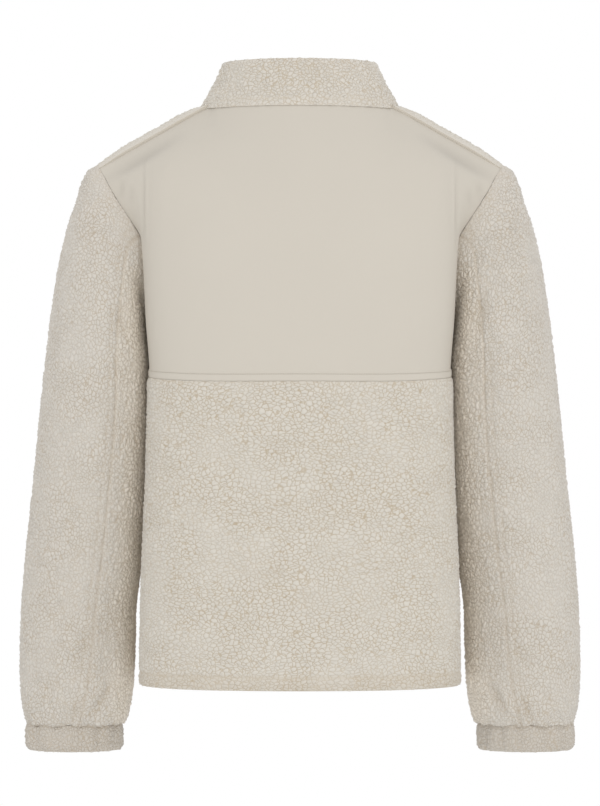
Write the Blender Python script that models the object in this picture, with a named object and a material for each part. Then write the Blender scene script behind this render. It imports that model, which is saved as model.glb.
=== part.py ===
"""A zip-front fleece jacket with a smooth woven back yoke, filled out as if worn.

Metres, +Z up. The jacket faces -Y and the wearer's left is +X. The origin is the centre of the
neck opening, at the height of the collar seam. Every cloth piece is a thin wall: its inner face
is the cloth's backing, and its thickness, pile included, is laid on outwards.
"""
import math

import bmesh
import bpy
import numpy as np
from mathutils import Matrix, Vector

MM = 0.001
SEAM_GAP = 0.3 * MM

# Cloth thicknesses, pile included
SHERPA = 5.0 * MM
HEM_EDGE = 2.6 * MM
STITCH_GROOVE = 3.4 * MM
ARMHOLE_PILE = 1.7 * MM
WOVEN = 1.6 * MM
YOKE_FOLDED_EDGE = 2.8 * MM
CUFF_CLOTH = 6.0 * MM
ZIP_TAPE = 1.0 * MM

# Neck seam and collar: half widths and half depths of two ovals
NECK_HALF_WIDTH = 110 * MM
NECK_HALF_DEPTH = 80 * MM
NECK_CENTRE_Y = -5 * MM
NECK_FRONT_DROP = 50 * MM
NECK_SIDE_DEG = 68.0
COLLAR_TOP_HALF_WIDTH = 83 * MM
COLLAR_TOP_HALF_DEPTH = 62 * MM
COLLAR_TOP_CENTRE_Y = -3 * MM
COLLAR_TOP_BACK_Z = 52 * MM
COLLAR_TOP_FRONT_Z = 24 * MM
COLLAR_HOLLOW = 2.0 * MM

# The shoulder seam's outer end, on the left side
SHOULDER_TIP = np.array((224.5, 18.0, -68.0)) * MM

# Where the columns of a torso section lie, from its centre line (0) to its side edge (1)
NECK_STATION = 0.45
BACK_STATIONS = (0.0, NECK_STATION, 0.66, 0.84, 1.0)
FRONT_STATIONS = (0.0, 0.22, NECK_STATION, 0.72, 1.0)

# Sections of the back, in mm, from the hem up. The level counts sections: 3 is the yoke seam,
# 4 the armpit and 7 the shoulder seam.
BACK_COLUMNS = ("level", "z_centre", "z_edge", "y_centre", "x_neck", "y_neck",
                "x_blade", "y_blade", "x_ridge", "y_ridge", "x_edge", "y_edge")
BACK_SECTIONS = (
    (0.0, -645, -645, 131, 104, 118, 152, 92, 174.5, 52, 171, -12),
    (1.0, -530, -530, 126, 103, 114, 150, 89, 172.8, 51, 167, -12),
    (2.0, -415, -415, 122, 102, 111, 147, 88, 168.0, 51, 161, -12),
    (3.0, -307, -300, 124, 102, 113, 147, 91, 165.8, 54, 159, -12),
    (4.0, -238, -245, 127, 102, 117, 151, 96, 169.6, 60, 160, -8),
    (5.0, -152, -162, 124, 102, 113, 153, 94, 173.0, 68, 170, 45),
    (6.0, -60, -99, 104, 101, 84, 149, 77, 176.0, 62, 207, 37),
)
LEVEL_YOKE_SEAM = 3.0
LEVEL_ARMPIT = 4.0
LEVEL_SHOULDER = 7.0

# Sections of the front, in mm. The level 6.6 is the crest of the shoulder.
FRONT_COLUMNS = ("level", "z_centre", "z_neck", "z_outer", "z_edge", "y_centre", "x_mid", "y_mid",
                 "x_neck", "y_neck", "x_outer", "y_outer", "x_edge", "y_edge")
FRONT_SECTIONS = (
    (0.0, -645, -645, -645, -645, -148, 66, -143, 122, -117, 160, -68, 171, -12),
    (1.0, -530, -530, -530, -530, -146, 66, -141, 120, -115, 156, -66, 167, -12),
    (2.0, -415, -415, -415, -415, -143, 65, -138, 118, -112, 152, -64, 161, -12),
    (3.0, -304, -303, -301, -300, -142, 65, -137, 117, -110, 149, -62, 159, -12),
    (4.0, -240, -238, -242, -245, -141, 64, -136, 116, -108, 149, -60, 160, -8),
    (5.0, -168, -150, -157, -165, -130, 63, -127, 114, -106, 150, -88, 164, -58),
    (6.0, -105, -66, -78, -105, -107, 66, -97, 113, -66, 157, -56, 199, -42),
    (6.6, -65, -7.5, -29, -63.5, -92, 92, -70, 118, -22, 168, -16, 225, -5),
)

# Sections of the left sleeve, in mm, from the armhole down to the cuff seam. A section's outer
# and inner points give its width and slope. The turn moves the sleeve's two long seams round it.
SLEEVE_COLUMNS = ("x_outer", "z_outer", "x_inner", "z_inner", "y_centre", "half_depth", "turn_deg")
SLEEVE_SECTIONS = (
    (224.5, -64.5, 160.0, -245, 0, 55, 0),
    (238.5, -79.2, 175.5, -250, 0, 57, 0),
    (248.0, -104, 177.0, -259, -1, 63, 2),
    (260.0, -138, 175.5, -271, -3, 68, 4),
    (270.0, -185, 174.0, -285, -5, 72, 5),
    (277.0, -230, 173.8, -303, -8, 72, 6),
    (283.7, -280, 173.5, -335, -12, 70, 7),
    (291.4, -350, 174.5, -375, -17, 65, 7),
    (298.6, -420, 177.0, -430, -23, 60, 5),
    (306.8, -490, 182.0, -495, -29, 55, 4),
    (313.0, -560, 190.8, -560, -34, 51, 3),
    (315.4, -625, 192.8, -625, -38, 48, 0),
    (313.6, -670, 197.0, -670, -41, 45, -6),
    (310.0, -688, 201.5, -688, -42, 40, -9),
    (307.0, -698, 208.0, -698, -43, 35, -10),
)
SLEEVE_SIDES = 24
SLEEVE_RINGS = 21
ARMHOLE_RINGS = 6
HIND_SEAM = 7
FORE_SEAM = 17
SLEEVE_SQUARENESS = 2.2

# Soft folds of a sleeve: where each lies, how far it runs round and along, and its depth in mm.
# The angle runs from the outer edge (0) through the back (90) to the inner edge (180).
FOLD_COLUMNS = ("z", "angle_deg", "spread_deg", "half_height", "lean", "depth")
SLEEVE_FOLDS = (
    (-300, 122, 17, 52, 0.0, 4.0),
    (-250, 60, 30, 42, 0.6, 2.0),
    (-455, 150, 40, 26, -0.5, 3.0),
    (-610, 118, 34, 17, 0.9, 3.0),
    (-652, 60, 40, 15, -0.7, 2.6),
    (-420, 250, 46, 22, 0.4, 4.0),
    (-470, 262, 40, 20, -0.4, 3.0),
    (-640, 285, 42, 16, 0.6, 3.0),
)

# Cuffs: an elastic band of the same fleece, drawn up in small gathers
CUFF_TOP_Z = -698 * MM
CUFF_BOTTOM_Z = -726.5 * MM
CUFF_SIDES = 40
CUFF_GATHERS = 13
CUFF_GATHER_DEPTH = 1.3 * MM
CUFF_BARREL = 0.8 * MM

# Zip
ZIP_HALF_GAP = 5.2 * MM
CHAIN_HALF_WIDTH = 2.9 * MM
CHAIN_HEIGHT = 2.4 * MM
TAPE_HALF_WIDTH = 15 * MM
TAPE_INNER_EDGE = 0.4 * MM
TAPE_DEPTH = 0.6 * MM
SLIDER_LENGTH = 12 * MM
SLIDER_WIDTH = 9 * MM
SLIDER_DEPTH = 6.2 * MM
SLIDER_LIFT = 0.4 * MM
BAIL_RADIUS = 0.9 * MM
BAIL_REACH = 3.0 * MM
BAIL_HALF_SPAN = 2.1 * MM
EAR_WIDTH = 1.2 * MM
EAR_HEIGHT = 3.4 * MM
EAR_OVERLAP = 1.0 * MM
PULL_EYE_RADIUS = 2.3 * MM
PULL_EYE_HOLE = 1.25 * MM
PULL_NECK_OVERLAP = 0.3 * MM
PULL_NECK_LENGTH = 6 * MM
PULL_LENGTH = 27 * MM
PULL_WIDTH = 7.5 * MM
PULL_THICKNESS = 1.7 * MM
ZIP_BOX_LENGTH = 9 * MM
ZIP_BOX_Z = -637 * MM
SLIDER_Z = 8 * MM
BAIL_SIDES = 12
EYE_SIDES = 16

SHERPA_COLOUR = (0.63, 0.57, 0.48)
WOVEN_COLOUR = (0.61, 0.56, 0.49)
METAL_COLOUR = (0.55, 0.52, 0.47)

# Where the grids are sampled
HEM_LEVELS = (0.0, 0.03, 0.10, 0.13, 0.16)
HEM_STITCH_LEVEL = 0.13
YOKE_EDGE_LEVELS = (3.0, 3.13, 3.17)
LOWER_LEVELS = np.concatenate([HEM_LEVELS, np.linspace(0.5, LEVEL_YOKE_SEAM, 8)])
ARMHOLE_LEVELS = np.linspace(LEVEL_ARMPIT, LEVEL_SHOULDER, SLEEVE_SIDES // 2 + 1)
YOKE_LEVELS = np.concatenate([YOKE_EDGE_LEVELS, (3.55,), ARMHOLE_LEVELS])
ALL_LEVELS = np.concatenate([LOWER_LEVELS, YOKE_LEVELS[1:]])
SHOULDER_STATIONS = np.linspace(NECK_STATION, 1.0, 9)
BACK_NECK_STATIONS = np.linspace(0.0, NECK_STATION, 7)
FRONT_NECK_STATIONS = np.linspace(0.0, NECK_STATION, 7)
HALF_BACK_STATIONS = np.concatenate([BACK_NECK_STATIONS, SHOULDER_STATIONS[1:]])
HALF_FRONT_STATIONS = np.concatenate([FRONT_NECK_STATIONS, SHOULDER_STATIONS[1:]])
COLLAR_HEIGHTS = (0.0, 0.12, 0.2, 0.45, 0.7, 0.9, 1.0)


def table(columns, rows):
    """A table's columns by name, as arrays."""
    values = np.array(rows, dtype=float)
    return {name: values[:, index] for index, name in enumerate(columns)}


def smooth_through(knots, values, at):
    """A smooth curve through values, given at rising knots and read at the places in at."""
    knots = np.asarray(knots, dtype=float)
    values = np.asarray(values, dtype=float)
    at = np.asarray(at, dtype=float)
    slopes = np.empty_like(values)
    spans = (knots[2:] - knots[:-2]).reshape((-1,) + (1,) * (values.ndim - 1))
    slopes[1:-1] = (values[2:] - values[:-2]) / spans
    slopes[0] = (values[1] - values[0]) / (knots[1] - knots[0])
    slopes[-1] = (values[-1] - values[-2]) / (knots[-1] - knots[-2])
    left = np.clip(np.searchsorted(knots, at, side="right") - 1, 0, len(knots) - 2)
    step = knots[left + 1] - knots[left]
    shape = (-1,) + (1,) * (values.ndim - 1)
    part = ((at - knots[left]) / step).reshape(shape)
    step = step.reshape(shape)
    square = part * part
    cube = square * part
    return ((2 * cube - 3 * square + 1) * values[left]
            + (cube - 2 * square + part) * step * slopes[left]
            + (3 * square - 2 * cube) * values[left + 1]
            + (cube - square) * step * slopes[left + 1])


def neck_point(angle_deg):
    """A point of the neck seam. The angle runs from the centre back (0) to the centre front (180)."""
    angle = math.radians(angle_deg)
    drop = max(0.0, angle - math.pi / 2)
    z = -NECK_FRONT_DROP * (1 - math.cos(2 * drop)) / 2
    return np.array((NECK_HALF_WIDTH * math.sin(angle), NECK_CENTRE_Y + NECK_HALF_DEPTH * math.cos(angle), z))


def collar_top_point(angle_deg):
    """A point of the collar's top edge, above neck_point at the same angle."""
    angle = math.radians(angle_deg)
    drop = max(0.0, angle - math.pi / 2)
    fall = (COLLAR_TOP_BACK_Z - COLLAR_TOP_FRONT_Z) * (1 - math.cos(2 * drop)) / 2
    return np.array((COLLAR_TOP_HALF_WIDTH * math.sin(angle),
                     COLLAR_TOP_CENTRE_Y + COLLAR_TOP_HALF_DEPTH * math.cos(angle),
                     COLLAR_TOP_BACK_Z - fall))


def shoulder_point(station):
    """A point of the left shoulder seam, from the neck to the shoulder's tip."""
    part = (station - NECK_STATION) / (1 - NECK_STATION)
    return (1 - part) * neck_point(NECK_SIDE_DEG) + part * SHOULDER_TIP


def top_point(station, centre_angle):
    """A point of a panel's top edge: along the neck from its centre, then along the shoulder."""
    if station >= NECK_STATION:
        return shoulder_point(station)
    part = station / NECK_STATION
    return neck_point(centre_angle + part * (NECK_SIDE_DEG - centre_angle))


def torso_rows(sections, xs, ys, zs, stations, at):
    """Points of each section at the stations in at, mirrored so that the centre is smooth.

    zs gives the columns of height by station.
    """
    height_stations = np.array(list(zs))
    height_knots = np.concatenate([-height_stations[:0:-1], height_stations])
    rows = []
    for index in range(len(sections["level"])):
        section = {name: values[index] for name, values in sections.items()}
        x = np.array([section[name] if name else 0.0 for name in xs])
        y = np.array([section[name] for name in ys])
        heights = np.array([section[name] for name in zs.values()])
        z = smooth_through(height_knots, np.concatenate([heights[:0:-1], heights]), stations)
        points = np.stack([x, y, z], axis=1) * MM
        mirrored = points[:0:-1] * (-1, 1, 1)
        knots = np.concatenate([-np.array(stations)[:0:-1], stations])
        rows.append(smooth_through(knots, np.concatenate([mirrored, points]), at))
    return np.array(rows)


def back_surface(levels, at):
    """The left half of the back: a row of points for each level."""
    sections = table(BACK_COLUMNS, BACK_SECTIONS)
    heights = {0.0: "z_centre", NECK_STATION: "z_centre", 1.0: "z_edge"}
    rows = torso_rows(sections, (None, "x_neck", "x_blade", "x_ridge", "x_edge"),
                      ("y_centre", "y_neck", "y_blade", "y_ridge", "y_edge"), heights, BACK_STATIONS, at)
    top = np.array([top_point(station, 0.0) for station in at])
    knots = np.append(sections["level"], LEVEL_SHOULDER)
    return smooth_through(knots, np.concatenate([rows, top[None]]), levels)


def front_surface(levels, at):
    """The left half of the front: a row of points for each level."""
    sections = table(FRONT_COLUMNS, FRONT_SECTIONS)
    heights = {0.0: "z_centre", NECK_STATION: "z_neck", FRONT_STATIONS[3]: "z_outer", 1.0: "z_edge"}
    rows = torso_rows(sections, (None, "x_mid", "x_neck", "x_outer", "x_edge"),
                      ("y_centre", "y_mid", "y_neck", "y_outer", "y_edge"), heights, FRONT_STATIONS, at)
    top = np.array([top_point(station, 180.0) for station in at])
    knots = np.append(sections["level"], LEVEL_SHOULDER)
    return smooth_through(knots, np.concatenate([rows, top[None]]), levels)


def fold_offset(z, angle_deg):
    """How far the sleeve's folds push a point in, at a height and an angle round the sleeve."""
    folds = table(FOLD_COLUMNS, SLEEVE_FOLDS)
    turn = angle_deg - folds["angle_deg"]
    height = z / MM - folds["z"] - folds["lean"] * turn
    return MM * float(np.sum(folds["depth"] * np.exp(-(turn / folds["spread_deg"]) ** 2
                                                     - (height / folds["half_height"]) ** 2)))


def sleeve_ring(section, side):
    """One point of a sleeve's section: a slightly squared oval between its outer and inner points."""
    outer = np.array((section["x_outer"], section["y_centre"], section["z_outer"])) * MM
    inner = np.array((section["x_inner"], section["y_centre"], section["z_inner"])) * MM
    angle_deg = 360.0 * side / SLEEVE_SIDES
    seam_turn = section["turn_deg"] * math.sin(math.radians(min(angle_deg, 360 - angle_deg)))
    angle = math.radians(angle_deg + seam_turn * (1 if angle_deg <= 180 else -1))
    power = 2 / SLEEVE_SQUARENESS
    across = math.copysign(abs(math.cos(angle)) ** power, math.cos(angle))
    deep = math.copysign(abs(math.sin(angle)) ** power, math.sin(angle))
    centre = (outer + inner) / 2
    arm = np.array((across, deep * section["half_depth"] * MM))
    point = centre + arm[0] * (outer - inner) / 2 + arm[1] * np.array((0.0, 1.0, 0.0))
    away = point - centre
    away /= np.linalg.norm(away)
    return point - away * fold_offset(point[2], math.degrees(angle) % 360)


def sleeve_surface(armhole):
    """The left sleeve from its armhole's points down to the cuff seam, a row for each ring."""
    sections = table(SLEEVE_COLUMNS, SLEEVE_SECTIONS)
    knots = np.arange(len(SLEEVE_SECTIONS), dtype=float)
    places = np.linspace(0, knots[-1], SLEEVE_RINGS + 1)
    values = smooth_through(knots, np.stack([sections[name] for name in SLEEVE_COLUMNS], axis=1), places)
    rings = []
    for row in values:
        section = dict(zip(SLEEVE_COLUMNS, row))
        rings.append([sleeve_ring(section, side) for side in range(SLEEVE_SIDES + 1)])
    rings = np.array(rings)
    shift = armhole - rings[0]
    for index in range(ARMHOLE_RINGS):
        part = index / ARMHOLE_RINGS
        fade = 1 - part * part * (3 - 2 * part)
        rings[index] += fade * shift
    return rings


def collar_surface(angles):
    """The collar from the neck seam to its top edge, with a slight hollow between them."""
    rows = []
    for height in COLLAR_HEIGHTS:
        row = []
        for angle in angles:
            side = -1 if angle < 0 else 1
            low = neck_point(abs(angle))
            high = collar_top_point(abs(angle))
            point = (1 - height) * low + height * high
            inwards = -np.array((low[0], low[1] - NECK_CENTRE_Y, 0.0))
            inwards /= np.linalg.norm(inwards)
            point = point + inwards * COLLAR_HOLLOW * math.sin(math.pi * height)
            row.append(point * (side, 1, 1))
        rows.append(row)
    return np.array(rows)


def cuff_surface():
    """The left cuff's inner face: an oval band in small gathers."""
    sections = table(SLEEVE_COLUMNS, SLEEVE_SECTIONS)
    half_width = (sections["x_outer"][-1] - sections["x_inner"][-1]) / 2 * MM
    centre_x = (sections["x_outer"][-1] + sections["x_inner"][-1]) / 2 * MM
    half_depth = sections["half_depth"][-1] * MM
    centre_y = sections["y_centre"][-1] * MM
    rows = []
    for part in (0.0, 0.18, 0.5, 0.82, 1.0):
        z = CUFF_TOP_Z - SEAM_GAP + part * (CUFF_BOTTOM_Z - CUFF_TOP_Z)
        row = []
        for side in range(CUFF_SIDES):
            angle = 2 * math.pi * side / CUFF_SIDES
            gather = CUFF_GATHER_DEPTH * math.cos(CUFF_GATHERS * angle + 0.7 * math.sin(3 * angle))
            swell = CUFF_BARREL * math.sin(math.pi * part) + gather * (1 - 0.35 * part)
            row.append((centre_x + (half_width + swell) * math.cos(angle),
                        centre_y + (half_depth + swell) * math.sin(angle), z))
        rows.append(row)
    return np.array(rows)


def mirrored_grid(grid):
    """The same panel on the other side of the body, its columns in the other order."""
    return grid[:, ::-1] * (-1, 1, 1)


def face_normals(grid, ring):
    """Outward normals times area for each cell of a grid."""
    wide = np.concatenate([grid, grid[:, :1]], axis=1) if ring else grid
    one = wide[1:, 1:] - wide[:-1, :-1]
    two = wide[1:, :-1] - wide[:-1, 1:]
    return np.cross(one, two)


def point_key(point):
    """The same key for points that lie together."""
    return tuple(np.round(point, 5))


def panel_normals(panel):
    """A panel's own point normals, by point."""
    grid = panel["grid"]
    columns = grid.shape[1]
    cells = face_normals(grid, panel["ring"])
    sums = {}
    for row in range(cells.shape[0]):
        for column in range(cells.shape[1]):
            beside = (column + 1) % columns
            for corner in ((row, column), (row + 1, column), (row, beside), (row + 1, beside)):
                key = point_key(grid[corner])
                sums[key] = sums.get(key, 0) + cells[row, column]
    return {key: total / np.linalg.norm(total) for key, total in sums.items()}


def shared_normals(panels):
    """Each panel's point normals. Points that lie together, across a seam, share the mean of theirs."""
    sums = {}
    for panel in panels.values():
        for key, normal in panel_normals(panel).items():
            sums[key] = sums.get(key, 0) + normal
    normals = {}
    for name, panel in panels.items():
        found = np.array([[sums[point_key(point)] for point in row] for row in panel["grid"]])
        normals[name] = found / np.linalg.norm(found, axis=2, keepdims=True)
    return normals


def level_rims(normals, panels):
    """Normals made level along the edges that must stay flat, such as a cuff's."""
    for name, panel in panels.items():
        for row in panel.get("flat_rows", ()):
            normals[name][row, :, 2] = 0.0
            normals[name][row] /= np.linalg.norm(normals[name][row], axis=1, keepdims=True)


def pulled_back(grid, edges, amount):
    """A grid whose named edges are drawn in along the cloth, to leave the gap of a seam."""
    drawn = grid.copy()
    for edge in edges:
        rim, inner = {"bottom": (np.s_[0], np.s_[1]), "top": (np.s_[-1], np.s_[-2]),
                      "first": (np.s_[:, 0], np.s_[:, 1]), "last": (np.s_[:, -1], np.s_[:, -2])}[edge]
        inwards = grid[inner] - grid[rim]
        inwards /= np.linalg.norm(inwards, axis=1, keepdims=True)
        drawn[rim] += inwards * amount
    return drawn


def make_object(name, mesh, material):
    """A named object for a finished mesh."""
    mesh.materials.append(material)
    thing = bpy.data.objects.new(name, mesh)
    bpy.context.scene.collection.objects.link(thing)
    return thing


def rim_faces(work, inside, outside):
    """The narrow faces along one edge of a wall. Two walls that share an edge split them alike."""
    slant = Vector((0.37, 0.61, 0.70))
    for index in range(len(inside) - 1):
        near, far = index, index + 1
        if inside[near].co.dot(slant) > inside[far].co.dot(slant):
            near, far = far, near
        work.faces.new((inside[near], inside[far], outside[far]))
        work.faces.new((inside[near], outside[far], outside[near]))


def wall(name, panel, normals, material):
    """A closed cloth wall: the panel's grid inside, and the same grid moved out by its thickness."""
    grid = pulled_back(panel["grid"], panel["seams"], panel.get("draw_in", SEAM_GAP / 2))
    rows, columns = grid.shape[:2]
    thickness = np.broadcast_to(np.asarray(panel["thickness"], dtype=float).reshape(-1, 1), (rows, columns))
    outer = grid + normals * thickness[..., None]
    work = bmesh.new()
    inside = [[work.verts.new(point) for point in row] for row in grid]
    outside = [[work.verts.new(point) for point in row] for row in outer]
    last = columns if panel["ring"] else columns - 1
    for row in range(rows - 1):
        for column in range(last):
            beside = (column + 1) % columns
            work.faces.new((outside[row][column], outside[row][beside],
                            outside[row + 1][beside], outside[row + 1][column]))
            work.faces.new((inside[row][beside], inside[row][column],
                            inside[row + 1][column], inside[row + 1][beside]))
    for row in (0, -1):
        closing = [0] if panel["ring"] else []
        order = list(range(columns)) + closing
        rim_faces(work, [inside[row][column] for column in order], [outside[row][column] for column in order])
    if not panel["ring"]:
        for column in (0, -1):
            rim_faces(work, [row[column] for row in inside], [row[column] for row in outside])
    bmesh.ops.recalc_face_normals(work, faces=work.faces)
    mesh = bpy.data.meshes.new(name)
    work.to_mesh(mesh)
    work.free()
    mesh.shade_smooth()
    mesh.set_sharp_from_angle(angle=math.radians(50))
    return make_object(name, mesh, material)


def plain_material(name, colour, roughness, metallic):
    """A Principled material."""
    material = bpy.data.materials.new(name)
    material.use_nodes = True
    shader = material.node_tree.nodes["Principled BSDF"]
    shader.inputs["Base Color"].default_value = (*colour, 1.0)
    shader.inputs["Roughness"].default_value = roughness
    shader.inputs["Metallic"].default_value = metallic
    return material


def hem_thickness(levels):
    """Fleece thickness up a body panel: a rounded hem edge and the groove of the hem's stitching."""
    values = np.full(len(levels), SHERPA)
    values[0] = HEM_EDGE
    values[np.isclose(levels, HEM_STITCH_LEVEL)] = STITCH_GROOVE
    return values


def body_panels():
    """The back's two panels and the two fronts, on the surfaces that they share."""
    half_back = back_surface(ALL_LEVELS, HALF_BACK_STATIONS)
    back = np.concatenate([half_back[:, :0:-1] * (-1, 1, 1), half_back], axis=1)
    front = front_surface(ALL_LEVELS, HALF_FRONT_STATIONS)
    below_armpit = ALL_LEVELS <= LEVEL_ARMPIT
    front[below_armpit, -1] = half_back[below_armpit, -1]
    front[:, 0, 0] = ZIP_HALF_GAP
    lower_count = len(LOWER_LEVELS)
    lower = back[:lower_count]
    yoke = back[lower_count - 1:]
    yoke_thickness = np.where(YOKE_LEVELS <= YOKE_EDGE_LEVELS[1] + 1e-9, YOKE_FOLDED_EDGE, WOVEN)
    front_thickness = hem_thickness(ALL_LEVELS)
    return {
        "back_lower": {"grid": lower[:, ::-1], "seams": ("top", "first", "last"),
                       "thickness": hem_thickness(LOWER_LEVELS), "ring": False},
        "back_yoke": {"grid": yoke[:, ::-1], "seams": ("bottom", "top", "first", "last"),
                      "thickness": yoke_thickness, "ring": False},
        "front_left": {"grid": front, "seams": ("top", "last"),
                       "thickness": front_thickness, "ring": False},
        "front_right": {"grid": mirrored_grid(front), "seams": ("top", "first"),
                        "thickness": front_thickness, "ring": False},
    }, half_back, front


def sleeve_panels(half_back, front):
    """Each sleeve's outer and under piece. They meet at the hind seam and at the fore seam."""
    from_armpit = ALL_LEVELS >= LEVEL_ARMPIT
    back_edge = half_back[from_armpit, -1][::-1]
    front_edge = front[from_armpit, -1]
    armhole = np.concatenate([back_edge, front_edge[1:]])
    surface = sleeve_surface(armhole)
    thickness = np.full(len(surface), SHERPA)
    thickness[-1] = ARMHOLE_PILE
    under = surface[:, HIND_SEAM:FORE_SEAM + 1]
    outer = np.concatenate([surface[:, FORE_SEAM:-1], surface[:, :HIND_SEAM + 1]], axis=1)
    panels = {}
    for piece, grid in (("sleeve_under", under), ("sleeve_outer", outer)):
        down = grid[::-1]
        common = {"seams": ("bottom", "top", "first", "last"), "thickness": thickness,
                  "ring": False, "flat_rows": (0,), "draw_in": 2 * SEAM_GAP}
        panels[piece + "_left"] = {"grid": down, **common}
        panels[piece + "_right"] = {"grid": mirrored_grid(down), **common}
    return panels


def collar_panel():
    """The collar, open at the centre front for the zip."""
    back_angles = np.linspace(0.0, NECK_SIDE_DEG, len(BACK_NECK_STATIONS))
    front_angles = np.linspace(NECK_SIDE_DEG, 180.0, len(FRONT_NECK_STATIONS))
    half = np.concatenate([back_angles, front_angles[1:]])
    grid = collar_surface(np.concatenate([-half[:0:-1], half]))
    grid[:, 0, 0] = -ZIP_HALF_GAP
    grid[:, -1, 0] = ZIP_HALF_GAP
    thickness = np.full(len(COLLAR_HEIGHTS), SHERPA)
    thickness[1] = STITCH_GROOVE + 0.8 * MM
    thickness[-1] = HEM_EDGE
    grid = grid[:, ::-1]
    return {"collar": {"grid": grid, "seams": ("bottom",), "thickness": thickness, "ring": False}}, grid


def cuff_panels():
    """The two cuffs."""
    left = cuff_surface()[::-1]
    thickness = np.array((0.6, 1.0, 1.0, 1.0, 0.75)) * CUFF_CLOTH
    common = {"seams": (), "thickness": thickness, "ring": True, "flat_rows": (0, -1)}
    return {"cuff_left": {"grid": left, **common}, "cuff_right": {"grid": mirrored_grid(left), **common}}


def zip_line(x, front, collar):
    """Points up the front at a distance x from the centre: on the left front, then on the collar."""
    rows = []
    for panel in (front[1:], collar[1:-1]):
        edge = panel[:, 0]
        beside = panel[:, 1]
        part = np.clip((x - edge[:, :1]) / (beside[:, :1] - edge[:, :1]), 0, 1)
        rows.append((1 - part) * edge + part * beside)
    line = np.concatenate(rows)
    line[:, 0] = x
    return line


def strip(name, left, right, near, far, material):
    """A flat strip between two lines, from one depth to another, measured outwards of the cloth's backing."""
    across = right - left
    along = np.gradient(left, axis=0)
    out = np.cross(along, across)
    out *= np.sign(-out[:, 1:2])
    out /= np.linalg.norm(out, axis=1, keepdims=True)
    work = bmesh.new()
    rails = [[work.verts.new(point) for point in line + out * depth]
             for line, depth in ((left, near), (right, near), (right, far), (left, far))]
    for row in range(len(left) - 1):
        for side in range(4):
            one = rails[side]
            two = rails[(side + 1) % 4]
            work.faces.new((one[row], two[row], two[row + 1], one[row + 1]))
    work.faces.new([rail[0] for rail in rails])
    work.faces.new([rail[-1] for rail in rails])
    bmesh.ops.recalc_face_normals(work, faces=work.faces)
    mesh = bpy.data.meshes.new(name)
    work.to_mesh(mesh)
    work.free()
    return make_object(name, mesh, material)


def block(size, centre):
    """A closed box as a bmesh."""
    work = bmesh.new()
    bmesh.ops.create_cube(work, size=1.0, matrix=Matrix.Translation(centre) @ Matrix.Diagonal((*size, 1.0)))
    return work


def rod(radius, length, centre, sides):
    """A closed cylinder along X as a bmesh."""
    work = bmesh.new()
    turn = Matrix.Translation(centre) @ Matrix.Rotation(math.radians(90), 4, "Y")
    bmesh.ops.create_cone(work, cap_ends=True, segments=sides, radius1=radius, radius2=radius,
                          depth=length, matrix=turn)
    return work


def solid_from(name, first, others, material):
    """One solid: the first shape joined with, or cut by, each of the others in turn."""
    mesh = bpy.data.meshes.new(name)
    first.to_mesh(mesh)
    first.free()
    solid = make_object(name, mesh, material)
    for operation, shape in others:
        tool_mesh = bpy.data.meshes.new(name + "_tool")
        shape.to_mesh(tool_mesh)
        shape.free()
        tool = bpy.data.objects.new(name + "_tool", tool_mesh)
        bpy.context.scene.collection.objects.link(tool)
        cut = solid.modifiers.new(operation, "BOOLEAN")
        cut.operation = operation
        cut.object = tool
        graph = bpy.context.evaluated_depsgraph_get()
        result = bpy.data.meshes.new_from_object(solid.evaluated_get(graph))
        solid.modifiers.clear()
        solid.data = result
        bpy.data.objects.remove(tool)
    return solid


def zip_point(line, height):
    """The point of a zip line at a height."""
    return np.array([np.interp(height, line[:, 2], line[:, axis]) for axis in range(3)])


def zip_frame(line, height):
    """A place on the zip: a matrix whose Z runs up the zip and whose -Y points out of the cloth."""
    up = Vector(zip_point(line, height + MM) - zip_point(line, height - MM)).normalized()
    across = Vector((1.0, 0.0, 0.0))
    inwards = up.cross(across)
    turned = Matrix((across, inwards, up)).transposed().to_4x4()
    return Matrix.Translation(zip_point(line, height)) @ turned


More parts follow.
